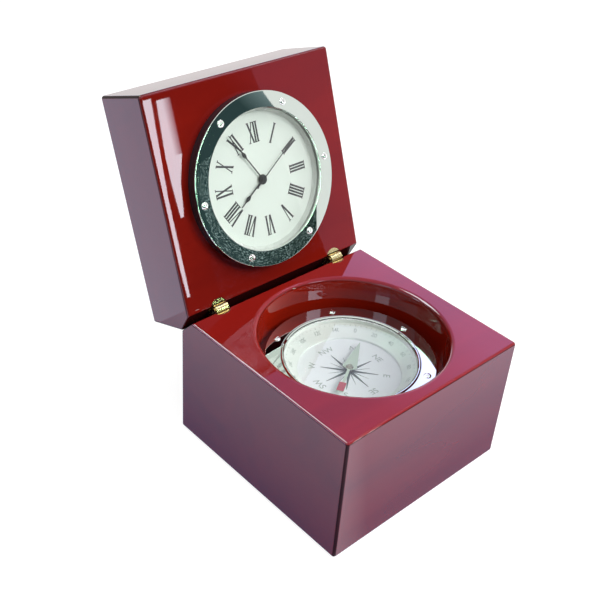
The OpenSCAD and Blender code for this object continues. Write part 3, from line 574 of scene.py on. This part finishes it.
def makeWinding(name, values):
    finish, tree, shader, vector = startFinish(name)
    copper, groove = values["colours"]
    turns = addNode(tree, "ShaderNodeTexWave", {
        "Vector": vector, "Scale": values["scale"], "Distortion": values["waver"],
    }, bands_direction="X").outputs["Fac"]
    addBump(shader, turns, values["groove"])
    feed(shader, {
        "Base Color": mixColours(tree, turns, (*groove, 1), (*copper, 1)),
        "Metallic": values["metal"],
        "Roughness": values["rough"],
    })
    return finish


finishes["copperWinding"] = makeWinding("copperWinding", windingValues)

glassValues = {"colours": ((0.99, 1, 0.995), (0.95, 0.975, 0.97)), "scale": 20, "amount": 0.4,
               "rough": 0.0, "ior": 1.45}


def makeGlass(name, values):
    finish, tree, shader, vector = startFinish(name)
    tint = addPatches(tree, vector, values["colours"], values["scale"], values["amount"])
    feed(shader, {
        "Base Color": tint.outputs["Colour"], "Transmission Weight": 1,
        "Roughness": values["rough"], "IOR": values["ior"],
    })
    # Light passes straight through on its way to what lies behind the glass
    shadow = addNode(tree, "ShaderNodeLightPath").outputs["Is Shadow Ray"]
    clear = addNode(tree, "ShaderNodeBsdfTransparent").outputs["BSDF"]
    surface = mixShaders(tree, shadow, shader.outputs["BSDF"], clear)
    feed(tree.nodes["Material Output"], {"Surface": surface})
    return finish


finishes["crystalGlass"] = makeGlass("crystalGlass", glassValues)
print("finishes ready")


# Wooden case

# How far a face's direction may lie from a flat side, a slant, the wall of a round or the way up
facing = {"flatSide": 0.97, "roundedUp": 0.6, "slant": 0.999, "bevel": 0.9999, "wall": 0.5, "skirt": 0.3}


def woodBlock(name, height, hingeSide):
    # Block seen from the hinge line, wood below it, with the bevelled side towards hingeSide
    piece = addBlock(
        name, (box["width"], box["width"], height), (0, -hingeSide * hingeReach, faceHeight - height / 2)
    )
    openMesh(piece)
    slope = Vector((0, hingeSide * box["bevelDrop"], box["bevelRun"])).normalized()
    bevelTop = hingeSide * (box["hingeInset"] - box["bevelRun"])
    start = Vector((0, bevelTop, faceHeight)) * mm
    bpy.ops.mesh.bisect(plane_co=start, plane_no=slope, use_fill=True, clear_outer=True)
    roundCorners(piece, box["cornerRadius"], box["roundSteps"])

    def onRim(edge):
        middle = edgeMiddle(edge)
        atFoot = abs(middle.z - faceHeight + height) < near
        atFace = abs(middle.z - faceHeight) < near and abs(middle.y - bevelTop) > near
        return abs(edgeAlong(edge).z) < near and (atFoot or atFace)

    pick(piece, "EDGE", onRim)
    softenEdges(box["edgeRadius"], box["roundSteps"])

    def onBevel(edge):
        slanted = [abs(face.normal.dot(slope)) > facing["slant"] for face in edge.link_faces]
        return len(slanted) == 2 and slanted[0] != slanted[1]

    pick(piece, "EDGE", onBevel)
    softenEdges(box["bevelEdge"], box["bevelSteps"])
    closeMesh()
    print(name, "has", len(piece.data.polygons), "faces")
    return piece


def drill(radius, depth, place, steps=sides["bore"]):
    # Round cutter that reaches down to depth below its place
    clearSelection()
    bpy.ops.mesh.primitive_cylinder_add(
        vertices=steps,
        radius=radius * mm,
        depth=(depth + overshoot) * mm,
        location=(Vector(place) + Vector((0, 0, (overshoot - depth) / 2))) * mm,
    )
    applyPlace()
    return namePiece("drill")


def drillBarrels(block):
    for side in (-1, 1):
        place = (side * box["hingeX"], 0, faceHeight)
        cutWith(block, drill(box["barrelBore"], box["barrelDepth"], place, sides["barrel"]))


def rimmedCutter(radius, depth, rim, place):
    # Cutter for a round hole with a rounded rim, which it follows until just past level
    steps, sweep, top = 7, 93, 1.5
    line = [(0, -depth), (radius, -depth), (radius, -rim)]
    for step in range(1, steps + 1):
        turn = math.radians(180 - sweep * step / steps)
        line.append((radius + rim + rim * math.cos(turn), -rim + rim * math.sin(turn)))
    line += [(radius + rim, top), (0, top)]
    piece = turnProfile("rimmedCutter", line, sides["bore"])
    settle(piece, moved(*place))
    return piece


def addFinish(piece, finish, test):
    # Gives the faces that pass a test another finish
    piece.data.materials.append(finishes[finish])
    openMesh(piece)
    pick(piece, "FACE", test)
    piece.active_material_index = len(piece.data.materials) - 1
    bpy.ops.object.material_slot_assign()
    closeMesh()


def upwards(place):
    return (place.to_3x3() @ Vector((0, 0, 1))).normalized()


def darkenEdges(piece, place):
    # Painted shade: the rounded outer edges and the long bevel get a dark copy of the lacquer
    turn = place.to_3x3().inverted()
    slope = Vector((box["bevelDrop"], box["bevelRun"])).normalized()
    cornerStart = (box["width"] / 2 - box["cornerRadius"]) * mm

    def onEdge(face):
        normal = (turn @ face.normal).normalized()
        spot = place.inverted() @ face.calc_center_median()
        outside = max(abs(spot.x), abs(spot.y)) > cornerStart
        sideways = max(abs(normal.x), abs(normal.y))
        rounded = sideways < facing["flatSide"] and abs(normal.z) < facing["roundedUp"]
        onBevel = Vector((abs(normal.y), normal.z)).dot(slope) > facing["bevel"]
        return outside and rounded or onBevel

    addFinish(piece, "paintedShadeEdgeLacquer", onEdge)


def makeBase():
    height = box["baseTop"] - box["footGap"]
    block = woodBlock("box_base", height, 1)
    middle = (0, -insertReach, faceHeight)
    cutWith(block, rimmedCutter(box["recessRadius"], box["recessDepth"], box["rimRadius"], middle))
    floor = (0, -insertReach, faceHeight - box["recessDepth"])
    cutWith(block, drill(box["boreRadius"], box["compassBore"], floor))
    drillBarrels(block)
    pocket = addBlock(
        "pocket", (box["feltWidth"], box["feltWidth"], 2 * overshoot),
        (0, -hingeReach, faceHeight - height + box["feltPocket"] - overshoot),
    )
    openMesh(pocket)
    roundCorners(pocket, box["cornerRadius"], box["roundSteps"])
    closeMesh()
    cutWith(block, pocket)
    finishPiece(block, basePlace, "cherryLacquer", "base", "lacquered_wood", "base_block")

    def inRecess(face):
        spot = face.calc_center_median() - compassPlace.translation
        inside = spot.xy.length < (box["recessRadius"] + 5 * near) * mm
        return inside and abs(face.normal.z) < facing["wall"] and spot.z > -box["compassBore"] * mm

    def onTop(face):
        high = face.calc_center_median().z > (box["baseTop"] - box["rimRadius"]) * mm
        return high and face.normal.z > facing["roundedUp"]

    # Painted light: lighter copies of the lacquer on the recess walls and the base top, and painted shade on
    # the edges
    addFinish(block, "paintedLightRecessLacquer", inRecess)
    addFinish(block, "paintedLightTopLacquer", onTop)
    darkenEdges(block, Matrix.Identity(4))


def makeLid():
    block = woodBlock("box_lid", box["lidHeight"], -1)
    cutWith(block, drill(box["boreRadius"], box["clockBore"], (0, insertReach, faceHeight)))
    drillBarrels(block)
    finishPiece(block, lidPlace, "cherryLacquer", "lid", "lacquered_wood", "lid_block")
    out = upwards(lidPlace)
    # Painted light: the lid's inner face gets its own lit copy of the lacquer, and the edges get painted
    # shade
    addFinish(block, "paintedLightInnerLacquer", lambda face: face.normal.dot(out) > facing["flatSide"])
    darkenEdges(block, lidPlace @ moved(0, hingeReach, 0))


makeBase()
makeLid()
print("case ready")


# Rings, screws and crystals

insertValues = {
    "clock": {"place": clockPlace, "body": "lid", "radius": 37.4, "window": 30.3, "screwTurn": 2.5},
    "compass": {"place": compassPlace, "body": "base", "radius": 36.7, "window": 29.9, "screwTurn": 0},
}
ringValues = {"height": 4.9, "plate": 1.2, "wall": 1, "soft": 0.35}


def makeRing(insert, values):
    outer, inner, place = values["radius"], values["window"], values["place"]
    height, wall = ringValues["height"], outer - ringValues["wall"]
    under = height - ringValues["plate"]
    corners = [(outer, 0), (outer, height), (inner, height), (inner, under), (wall, under), (wall, 0)]
    ring = turnProfile(insert + "_ring", ringSection(corners, ringValues["soft"]), sides["bore"])
    finishPiece(ring, place, "polishedChrome", values["body"], "ring_chrome", insert + "_bezel")

    def onSkirt(face):
        out = face.calc_center_median() - place.translation
        return abs(face.normal.dot(upwards(place))) < facing["skirt"] and face.normal.dot(out) > 0

    addFinish(ring, "skirtBlack", onSkirt)


for insert, values in insertValues.items():
    makeRing(insert, values)

screwValues = {"radius": 1.6, "rim": 0.12, "dome": 0.6, "shank": 0.8, "length": 2.6, "slotWidth": 0.5,
               "slotDepth": 0.4, "turns": (99, 18, 72, 144, 45, 117)}


def makeScrew(values):
    # One slotted screw whose head sits at height 0
    radius, shank, length = values["radius"], values["shank"], values["length"]
    line = [(0, -length), (shank, -length), (shank, 0), (radius, 0)]
    line += domeLine(radius, values["rim"], values["dome"])
    screw = turnProfile("screwMaster", line, sides["small"])
    slotMiddle = (0, 0, values["dome"] - values["slotDepth"] + overshoot)
    cutWith(screw, addBlock("slotCutter", (4 * radius, values["slotWidth"], 2 * overshoot), slotMiddle))
    mendShell(screw)
    smoothPiece(screw, angle=40)
    return screw


def placeScrews(insert, values):
    circle = (values["radius"] + values["window"]) / 2
    turns = screwValues["turns"]
    copies = []
    for index, slotTurn in enumerate(turns):
        around = turned(360 / len(turns) * index + values["screwTurn"])
        spot = values["place"] @ around @ moved(circle, 0, ringValues["height"]) @ turned(slotTurn)
        copies.append(copyPiece(screwMaster, f"{insert}_screw_{index + 1}", spot))
    screws = joinPieces(copies, insert + "_ring_screws")
    dress(screws, "screwHead", values["body"], "screw_steel", insert + "_bezel_screws")


screwMaster = makeScrew(screwValues)
for insert, values in insertValues.items():
    placeScrews(insert, values)
bpy.data.objects.remove(screwMaster)

crystalValues = {"radius": 31.1, "low": 2.5, "edge": 3.7, "domeRadius": 30.2, "rise": 0.25, "steps": 24}


def makeClockCrystal(values):
    line = [(0, values["low"]), (values["radius"], values["low"]), (values["radius"], values["edge"])]
    for step in range(values["steps"] + 1):
        share = 1 - step / values["steps"]
        line.append((values["domeRadius"] * share, values["edge"] + values["rise"] * (1 - share**2)))
    crystal = turnProfile("clock_glass", line, sides["glass"])
    finishPiece(crystal, clockPlace, "crystalGlass", "lid", "crystal_glass", "clock_crystal")


makeClockCrystal(crystalValues)

dialRingValues = {"foot": 28.8, "top": 30.0, "outer": 31.1, "low": 0.5, "high": 2.5, "soft": 0.12}


def makeDialRing(values):
    # Pale ring that leans from the dial out to the glass
    low, high = values["low"], values["high"]
    corners = [(values["foot"], low), (values["outer"], low), (values["outer"], high), (values["top"], high)]
    ring = turnProfile("dial_surround", ringSection(corners, values["soft"]), sides["glass"])
    finishPiece(ring, clockPlace, "dialRingPaint", "lid", "dial_ring_paint", "dial_ring")


makeDialRing(dialRingValues)
print("rings ready")


# Dial

dialValues = {
    "front": 0.5,
    "ink": 0.03,
    "layer": 0.001,
    "middleRadius": 20.4,
    "height": 8.8,
    "stem": 0.86,
    "hair": 0.46,
    "serif": 0.34,
    "serifWidths": {"I": 1.41, "V": 1.2, "X": 1.15},
    "widths": {"I": 1.25, "V": 2.9, "X": 2.9},
    "sideGap": 0.35,
    "footGap": 0.1,
    "numerals": ("XII", "I", "II", "III", "IIII", "V", "VI", "VII", "VIII", "IX", "X", "XI"),
}


def addStroke(low, high, width, layer=0):
    # One inked bar from low to high, both (x, y), with level ends; later layers lie a little deeper
    rise, ink = high[1] - low[1], dialValues["ink"]
    middle = (low[0], low[1] + rise / 2, ink / 2 - layer * dialValues["layer"])
    stroke = addBlock("stroke", (width, rise, ink), middle)
    openMesh(stroke)
    pick(stroke, "VERT", lambda vert: vert.co.y > middle[1] * mm)
    bpy.ops.transform.translate(value=Vector((high[0] - low[0], 0, 0)) * mm)
    closeMesh()
    return stroke


def makeLetter(letter):
    stem, hair, serif, foot = (dialValues[key] for key in ("stem", "hair", "serif", "footGap"))
    half = dialValues["height"] / 2
    wide = dialValues["widths"][letter] / 2 - dialValues["sideGap"]
    if letter == "I":
        strokes = [addStroke((0, -half), (0, half), stem)]
        ends = [(0, -half), (0, half - serif)]
    if letter == "V":
        strokes = [addStroke((-foot, -half), (-wide, half), stem)]
        strokes.append(addStroke((foot, -half), (wide, half), hair, 1))
        ends = [(-wide, half - serif), (wide, half - serif)]
    if letter == "X":
        strokes = [addStroke((wide, -half), (-wide, half), stem)]
        strokes.append(addStroke((-wide, -half), (wide, half), hair, 1))
        ends = [(x, low) for x in (-wide, wide) for low in (-half, half - serif)]
    width, layer = dialValues["serifWidths"][letter], len(strokes)
    for x, low in ends:
        strokes.append(addStroke((x, low), (x, low + serif), width, layer))
    return joinPieces(strokes, "letter" + letter)


def makeNumerals():
    letters = {letter: makeLetter(letter) for letter in "IVX"}
    widths, numerals = dialValues["widths"], dialValues["numerals"]
    radius, front = dialValues["middleRadius"], dialValues["front"]
    pieces = []
    for hour, text in enumerate(numerals):
        along = -sum(widths[letter] for letter in text) / 2
        bearing = clockPlace @ turned(-360 / len(numerals) * hour)
        for place, letter in enumerate(text):
            spot = bearing @ moved(along + widths[letter] / 2, radius, front)
            pieces.append(copyPiece(letters[letter], f"numeral_{hour}_{place}", spot))
            along += widths[letter]
    for letter in letters.values():
        bpy.data.objects.remove(letter)
    dress(joinPieces(pieces, "dial_numerals"), "inkBlack", "lid", "hand_black")


makeNumerals()

handCapValues = {"low": 2.2, "radius": 0.72, "edge": 0.06, "rise": 0.14}


def makeHandCap(values):
    # Black cap over the end of the centre arbor
    radius, low = values["radius"], values["low"]
    line = [(0, low), (radius, low)] + domeLine(radius, low + values["edge"], low + values["rise"])
    cap = turnProfile("second_hand_cap", line, sides["small"])
    finishPiece(cap, clockPlace, "handBlack", "second_works", "hand_black")


makeHandCap(handCapValues)
print("dial ready")


# Compass

compassValues = {
    "cardTop": -3.3,
    "slopeInner": (22.6, -2.3),
    "slopeOuter": (28.3, 1.5),
    "letterTurn": 40,
    "roseTurn": -5,
    "ink": 0.03,
    "letters": ("N", "NE", "E", "SE", "S", "SW", "W", "NW"),
    "letterRadius": 16,
    "letterSize": 4.1,
    "degreeShare": 0.5,
    "degreeStep": 20,
    "degreeSize": 2.7,
    "degreeLift": 0.02,
    "tickShare": 0.86,
    "tickStep": 5,
    "tickWidth": 0.16,
    "tickLong": 1.1,
    "tickShort": 0.7,
    "bold": 0.005,
}
eighth = 45  # degrees between two of the eight bearings
roseValues = {"start": 1.2, "tip": 0.18, "main": (12.6, 1.5, 0), "thin": (9.5, 0.4, eighth / 2)}


def addPrint(text, size):
    # Flat lettering, centred on the origin
    clearSelection()
    bpy.ops.object.text_add()
    words = bpy.context.object
    words.data.body = text
    words.data.size = size
    words.data.extrude = compassValues["ink"] / 2
    words.data.offset = compassValues["bold"] * size
    words.data.align_x = "CENTER"
    words.data.align_y = "CENTER"
    bpy.ops.object.convert(target="MESH")
    words = namePiece("print" + text)
    words.scale = (mm, mm, mm)
    applyPlace()
    return words


def onCard(bearing, radius=0, height=0):
    # Place on the card, whose bearings turn left from +x
    return compassPlace @ turned(bearing - 90) @ moved(0, radius, compassValues["cardTop"] + height)


def makeCardPrint(values):
    pieces = []
    for index, text in enumerate(values["letters"]):
        words = addPrint(text, values["letterSize"])
        bearing = values["letterTurn"] - eighth * index
        settle(words, onCard(bearing, values["letterRadius"], values["ink"] / 2))
        pieces.append(words)
    dress(joinPieces(pieces, "card_letters"), "inkGrey", "base", "card_white")


def addRay(reach, width):
    # Long pointed ray along +y: a flat block whose far end closes to a point
    start, ink = roseValues["start"], compassValues["ink"]
    middle = (0, (reach + start) / 2, ink / 2)
    ray = addBlock("ray", (width, reach - start, ink), middle)
    openMesh(ray)
    pick(ray, "VERT", lambda vert: vert.co.y > middle[1] * mm)
    bpy.ops.transform.resize(value=(roseValues["tip"], 1, 1), center_override=(0, 0, 0))
    closeMesh()
    return ray


def makeRose(values):
    # Main rays, and thin ones half way between them, each with its reach, width and turn
    pieces = []
    for reach, width, turn in (values["main"], values["thin"]):
        start = compassValues["roseTurn"] + turn
        places = [onCard(start + bearing) for bearing in range(0, 360, eighth)]
        pieces += stampCopies(addRay(reach, width), places)
    dress(joinPieces(pieces, "card_rose"), "inkRose", "base", "card_white")


def onSlope(degrees, share, lift):
    # Place on the degree ring, a share of the way up its slope
    inner, outer = Vector(compassValues["slopeInner"]), Vector(compassValues["slopeOuter"])
    climb = math.degrees(math.atan2(outer.y - inner.y, outer.x - inner.x))
    radius, height = inner + (outer - inner) * share
    around = turned(compassValues["letterTurn"] - degrees - 90)
    return compassPlace @ around @ moved(0, radius, height + lift) @ turned(climb, "X")


def makeDegreePrint(values):
    pieces = []
    for degrees in range(0, 360, values["degreeStep"]):
        words = addPrint(str(degrees), values["degreeSize"])
        settle(words, onSlope(degrees, values["degreeShare"], values["degreeLift"]))
        pieces.append(words)
    for long, atNumber in ((values["tickLong"], True), (values["tickShort"], False)):
        ticks = [
            onSlope(degrees, values["tickShare"], values["ink"] / 2)
            for degrees in range(0, 360, values["tickStep"])
            if (degrees % values["degreeStep"] == 0) == atNumber
        ]
        pieces += stampCopies(addBlock("tick", (values["tickWidth"], long, values["ink"])), ticks)
    dress(joinPieces(pieces, "degree_print"), "inkGrey", "base", "degree_white")


needleValues = {"turn": 31, "low": -1.1, "from": 11.1, "to": 16.85, "width": 3.1, "paint": 0.04,
                "corner": 0.4, "cornerSteps": 3}


def makeNeedleEnd(values):
    # Red paint over the needle's south end
    long = values["to"] - values["from"]
    middle = (-values["from"] - long / 2, 0, values["low"] + values["paint"] / 2)
    end = addBlock("needle_red_end", (long, values["width"], values["paint"]), middle)
    openMesh(end)
    roundCorners(end, values["corner"], values["cornerSteps"])
    closeMesh()
    settle(end, compassPlace @ turned(values["turn"]))
    dress(end, "needleRed", "needle", "needle_paint")


makeCardPrint(compassValues)
makeRose(roseValues)
makeDegreePrint(compassValues)
makeNeedleEnd(needleValues)
print("compass ready")


# Finishes of the pieces that keep their own shape

nodeFinishes = {
    "padFelt": ["base_felt"],
    "compassCasePlastic": ["compass_case"],
    "bandRubber": ["compass_band", "clock_band"],
    "capsulePlastic": ["compass_capsule"],
    "cardPaint": ["compass_card"],
    "degreePaint": ["degree_ring"],
    "crystalGlass": ["compass_crystal"],
    "polishedChrome": ["compass_rim"],
    "pivotBrass": ["compass_pivot", "needle_cap"],
    "needleGreen": ["compass_needle"],
    "hingeBrass": [
        side + part for side in ("left_hinge_", "right_hinge_") for part in ("base_half", "lid_half", "pin")
    ],
    "clockCasePlastic": ["clock_case", "battery_hatch", "movement_front", "movement_rear"],
    "dialPaint": ["clock_dial"],
    "plainSteel": ["movement_screws", "quartz_can", "coil_core", "stator"],
    "boardGreen": ["circuit_board"],
    "chipBlack": ["circuit_chip"],
    "gearPlastic": ["coil_bobbin", "motion_wheel", "setting_stem", "third_wheel", "centre_wheel",
                    "intermediate_wheel", "rotor_arbor"],
    "copperWinding": ["coil_winding"],
    "cellSteel": ["button_cell"],
    "gearBrass": ["cell_spring", "cell_strip", "hour_wheel", "minute_pinion", "second_wheel"],
    "handBlack": ["hour_hand", "minute_hand", "second_hand"],
    "knobPlastic": ["setting_knob"],
    "magnetBlack": ["rotor_magnet"],
}
for finish, names in nodeFinishes.items():
    for name in names:
        nodes[name].data.materials.clear()
        nodes[name].data.materials.append(finishes[finish])
print("node finishes ready")


# Camera, lights and floor

cameraValues = {
    "place": (-0.24774, -0.21845, 0.30237),
    "yaw": 44.87,
    "pitch": 34.69,
    "roll": 4.54,
    "focalPixels": 973.27,
    "imagePixels": 600,
    "sensor": 36,
    "clip": (0.01, 20),
}


def makeCamera(values):
    yaw, pitch, roll = (math.radians(values[key]) for key in ("yaw", "pitch", "roll"))
    ahead = Vector((math.sin(yaw) * math.cos(pitch), math.cos(yaw) * math.cos(pitch), -math.sin(pitch)))
    level = Vector((math.cos(yaw), -math.sin(yaw), 0))
    raised = level.cross(ahead)
    right = level * math.cos(roll) + raised * math.sin(roll)
    up = raised * math.cos(roll) - level * math.sin(roll)
    clearSelection()
    bpy.ops.object.camera_add()
    camera = bpy.context.object
    camera.name = "photoCamera"
    turn = Matrix((right, up, -ahead)).transposed().to_4x4()
    camera.matrix_world = Matrix.Translation(values["place"]) @ turn
    camera.data.sensor_fit = "HORIZONTAL"
    camera.data.sensor_width = values["sensor"]
    camera.data.lens = values["sensor"] * values["focalPixels"] / values["imagePixels"]
    camera.data.clip_start, camera.data.clip_end = values["clip"]
    bpy.context.scene.camera = camera


makeCamera(cameraValues)

lightAim = Vector((0, 0, 0.06))
lightValues = {
    "key": {"place": (0.5, -0.75, 0.75), "size": 0.6, "power": 11},
    "side": {"place": (0.9, -0.15, 0.36), "size": 0.4, "power": 6},
    "top": {"place": (-0.15, -0.1, 1.1), "size": 0.8, "power": 6.5},
}


def addSoftbox(name, values):
    clearSelection()
    bpy.ops.object.light_add(type="AREA", location=values["place"])
    lamp = bpy.context.object
    lamp.name = name + "Softbox"
    lamp.data.shape = "SQUARE"
    lamp.data.size = values["size"]
    lamp.data.energy = values["power"]
    lamp.visible_glossy = False
    lamp.visible_transmission = False
    lamp.rotation_euler = (lightAim - Vector(values["place"])).to_track_quat("-Z", "Y").to_euler()


for lampName, lampValues in lightValues.items():
    addSoftbox(lampName, lampValues)


def wall(left, right, low, high):
    # Corners of an upright card from one place (x, y) to another
    return [(*place, height) for height in (low, high) for place in (left, right)]


def pane(y, foot, head):
    # Corners of a pane with slanting sides: foot and head each give a left x, a right x and a height
    return [(x, y, row[2]) for row in (foot, head) for x in row[:2]]


def flat(z, front, back):
    # Corners of a lying card: front and back each give a left x, a right x and a y
    return [(x, row[2], z) for row in (front, back) for x in row[:2]]


# What the lacquer and the rings mirror: a dark room in front, windows, and floor and ceiling round the box.
# Corners run lower left, lower right, upper left, upper right, and two colours blend over a spread in metres.
windowLight = (0.9, 0.95, 1)
paneLight = (0.78, 1.38, 0.94)
paneGlow = {"colour": paneLight, "strength": 22}
alongX, alongY = (1, 0, 0), (0, 1, 0)
roomShade = {"colours": ((0.032, 0.062, 0.066), (0.007, 0.016, 0.011)), "spread": (0.36, 0.52)}
screenValues = {
    "darkRoom": {"corners": wall((-1.2, -0.601), (0.535, -0.601), 0, 0.36), **roomShade},
    # The flecks need this card's plane: a little off it they grow into worms
    "speckledRoom": {
        "corners": pane(-0.6, (0.362, 0.535, 0.05), (0.383, 0.535, 0.208)), "speckled": True, **roomShade,
    },
    "hazyRoom": {
        "corners": wall((0.4, -0.6), (0.535, -0.6), 0.208, 0.36),
        "colours": ((0.034, 0.062, 0.066), (0.24, 0.32, 0.34)),
        "along": (1, 0, 0.35), "spread": (0.583, 0.648),
    },
    "narrowPaneTop": {"corners": pane(-0.598, (0.335, 0.345, 0.178), (0.362, 0.376, 0.295)), **paneGlow},
    "narrowPaneFoot": {"corners": pane(-0.598, (0.316, 0.32, 0.06), (0.335, 0.345, 0.178)), **paneGlow},
    "widePaneTop": {
        "corners": pane(-0.598, (0.363, 0.387, 0.222), (0.382, 0.402, 0.291)), "strength": 22,
        "colours": (paneLight, (0.1, 0.12, 0.1)), "along": (0.981, 0, -0.192), "spread": (0.326, 0.339),
    },
    "widePaneMiddle": {"corners": pane(-0.598, (0.3565, 0.37, 0.19), (0.363, 0.387, 0.222)), **paneGlow},
    "widePaneFoot": {"corners": pane(-0.598, (0.35, 0.355, 0.15), (0.3565, 0.37, 0.19)), **paneGlow},
    "frontWindow": {"corners": wall((-0.03, -0.75), (0.22, -0.75), 0.5, 0.68), "strength": 9},
    "leftWindow": {"corners": wall((-0.8, -0.28), (-0.8, -0.02), 0.55, 0.73), "strength": 5},
    "edgeWindow": {"corners": wall((-1.15, 0.5), (-0.8, 0.9), 0.2, 0.4), "strength": 12},
    "upperWindow": {"corners": wall((0.5, -0.24), (0.9, -0.24), 0.9, 1.2), "strength": 12},
    # Painted shade: this card is darker towards the box, for the box's shadow on the floor as seen in
    # reflections
    "nearLeftFloor": {
        "corners": flat(0.0004, (-0.13, -0.048, -0.05), (-0.13, -0.048, 0.12)),
        "colours": ((1.85, 1.7, 2), (0.5, 0.46, 0.8)), "spread": (-0.12, -0.052),
    },
    "farLeftFloor": {
        "corners": flat(0.0003, (-0.6, -0.048, -0.05), (-0.6, -0.048, 0.7)), "colour": (1.8, 1.8, 2.2),
    },
    # Painted shade: this card is darker towards the box, for the box's shadow on the floor as seen in
    # reflections
    "frontFloor": {
        "corners": flat(0.0004, (-0.3, 0.3, -0.2), (-0.3, 0.3, -0.048)),
        "colours": ((2.1, 2.1, 2.4), (0.6, 0.6, 0.9)), "along": alongY, "spread": (-0.12, -0.055),
    },
    "backWall": {"corners": wall((0.3, 1.2), (1.4, 1.2), 0.05, 0.5), "strength": 3},
    "ceiling": {
        "corners": wall((0.4, 1), (2.4, 1), 0.8, 2.2),
        "colours": ((0.9, 0.9, 1.35), (1.85, 1.75, 2.75)), "along": (1, 0, -1), "spread": (-0.2, 0.24),
    },
    "highWindow": {"corners": wall((-0.9, 1.2), (0.16, 1.2), 1.3, 3.4), "colour": paneLight, "strength": 18},
    "edgeGlow": {
        "corners": flat(0.0006, (-0.052, -0.02, -0.05), (0.03, 0.062, -0.13)), "clear": True,
        "colours": ((0.75, 0.72, 0.7), (0, 0, 0)), "along": (0.707, 0.707, 0), "spread": (-0.0695, -0.057),
    },
}
speckleValues = {"colour": (0.55, 0.72, 0.74), "fleckScale": 420, "flecks": (-4.6, 3.2),
                 "patchScale": 22, "patches": (0, 0.9)}


def beforeDiffuse(tree):
    # 1 until a ray has lit a matt surface, 0 after it
    path = addNode(tree, "ShaderNodeLightPath")
    return addMath(tree, "LESS_THAN", path.outputs["Diffuse Depth"], 0.5)


# Painted reflection: pale flecks blended into a card's colour, which the chrome ring mirrors
def addSpeckles(tree, place, shown, values):
    flecks = wander(tree, place, values["fleckScale"], *values["flecks"])
    patches = wander(tree, place, values["patchScale"], *values["patches"])
    reflectedFlecks = addMath(tree, "MULTIPLY", flecks, patches, use_clamp=True)
    return mixColours(tree, reflectedFlecks, shown, (*values["colour"], 1))


def screenGlow(name, values):
    glow, tree = emptyMaterial(name)
    place = addNode(tree, "ShaderNodeTexCoord").outputs["Object"]
    first, second = values.get("colours") or 2 * (values.get("colour", windowLight),)
    along = {0: place, 1: values.get("along", alongX)}
    across = addNode(tree, "ShaderNodeVectorMath", along, operation="DOT_PRODUCT").outputs["Value"]
    share = mapRange(tree, across, *values.get("spread", (0, 1)))
    shown = mixColours(tree, share, (*first, 1), (*second, 1))
    if values.get("speckled"):
        shown = addSpeckles(tree, place, shown, speckleValues)
    level = addMath(tree, "MULTIPLY", beforeDiffuse(tree), values.get("strength", 1))
    surface = addNode(tree, "ShaderNodeEmission", {"Color": shown, "Strength": level}).outputs["Emission"]
    if values.get("clear"):
        through = addNode(tree, "ShaderNodeBsdfTransparent").outputs["BSDF"]
        surface = addNode(tree, "ShaderNodeAddShader", {0: surface, 1: through}).outputs["Shader"]
    addNode(tree, "ShaderNodeOutputMaterial", {"Surface": surface})
    return glow


def addScreen(name, values):
    # Glowing card that only reflections see
    clearSelection()
    bpy.ops.mesh.primitive_plane_add(size=2)
    screen = namePiece(name)
    bpy.ops.object.mode_set(mode="EDIT")
    for index, corner in enumerate(values["corners"]):
        first = Vector((-1 if index % 2 == 0 else 1, -1 if index < 2 else 1, 0))
        pick(screen, "VERT", lambda vert: vert.index == index)
        bpy.ops.transform.translate(value=Vector(corner) - first)
    closeMesh()
    screen.data.materials.append(screenGlow(name, values))
    for kind in ("camera", "diffuse", "transmission", "shadow", "volume_scatter"):
        setattr(screen, "visible_" + kind, False)


for screenName, values in screenValues.items():
    addScreen(screenName, values)

roomValues = {"ambient": 0.25, "seen": 0.96, "floorSize": 6, "floorGlow": 0.87, "floorSeen": 0.3,
              "floorBounce": 0.55}


def seenRays(tree):
    # 1 for what the camera, a reflection or glass shows, 0 for light on the object
    path = addNode(tree, "ShaderNodeLightPath").outputs
    first = addMath(tree, "MAXIMUM", path["Is Camera Ray"], path["Is Glossy Ray"])
    second = addMath(tree, "MAXIMUM", first, path["Is Transmission Ray"])
    return addMath(tree, "MULTIPLY", second, beforeDiffuse(tree))


def grey(level):
    return (level, level, level, 1)


def makeRoom(values):
    world = bpy.data.worlds.new("studio")
    world.use_nodes = True
    bpy.context.scene.world = world
    tree = world.node_tree
    tree.nodes.clear()
    skies = [{"Color": grey(1), "Strength": values[key]} for key in ("ambient", "seen")]
    light, seen = (addNode(tree, "ShaderNodeBackground", sky).outputs["Background"] for sky in skies)
    addNode(tree, "ShaderNodeOutputWorld", {"Surface": mixShaders(tree, seenRays(tree), light, seen)})


def makeFloor(values):
    clearSelection()
    bpy.ops.mesh.primitive_plane_add(size=values["floorSize"], location=(0, 0, 0))
    floor = namePiece("studioFloor")
    paper, tree = emptyMaterial("studioPaper")
    bounce, shown = (
        addNode(tree, "ShaderNodeBsdfDiffuse", {"Color": grey(values[key])}).outputs["BSDF"]
        for key in ("floorBounce", "floorSeen")
    )
    glow = addNode(tree, "ShaderNodeEmission", {"Strength": values["floorGlow"]}).outputs["Emission"]
    both = addNode(tree, "ShaderNodeAddShader", {0: shown, 1: glow}).outputs["Shader"]
    addNode(tree, "ShaderNodeOutputMaterial", {"Surface": mixShaders(tree, seenRays(tree), bounce, both)})
    floor.data.materials.append(paper)


makeRoom(roomValues)
makeFloor(roomValues)
bpy.context.scene.view_settings.view_transform = "Standard"
clearSelection()
print("studio ready")
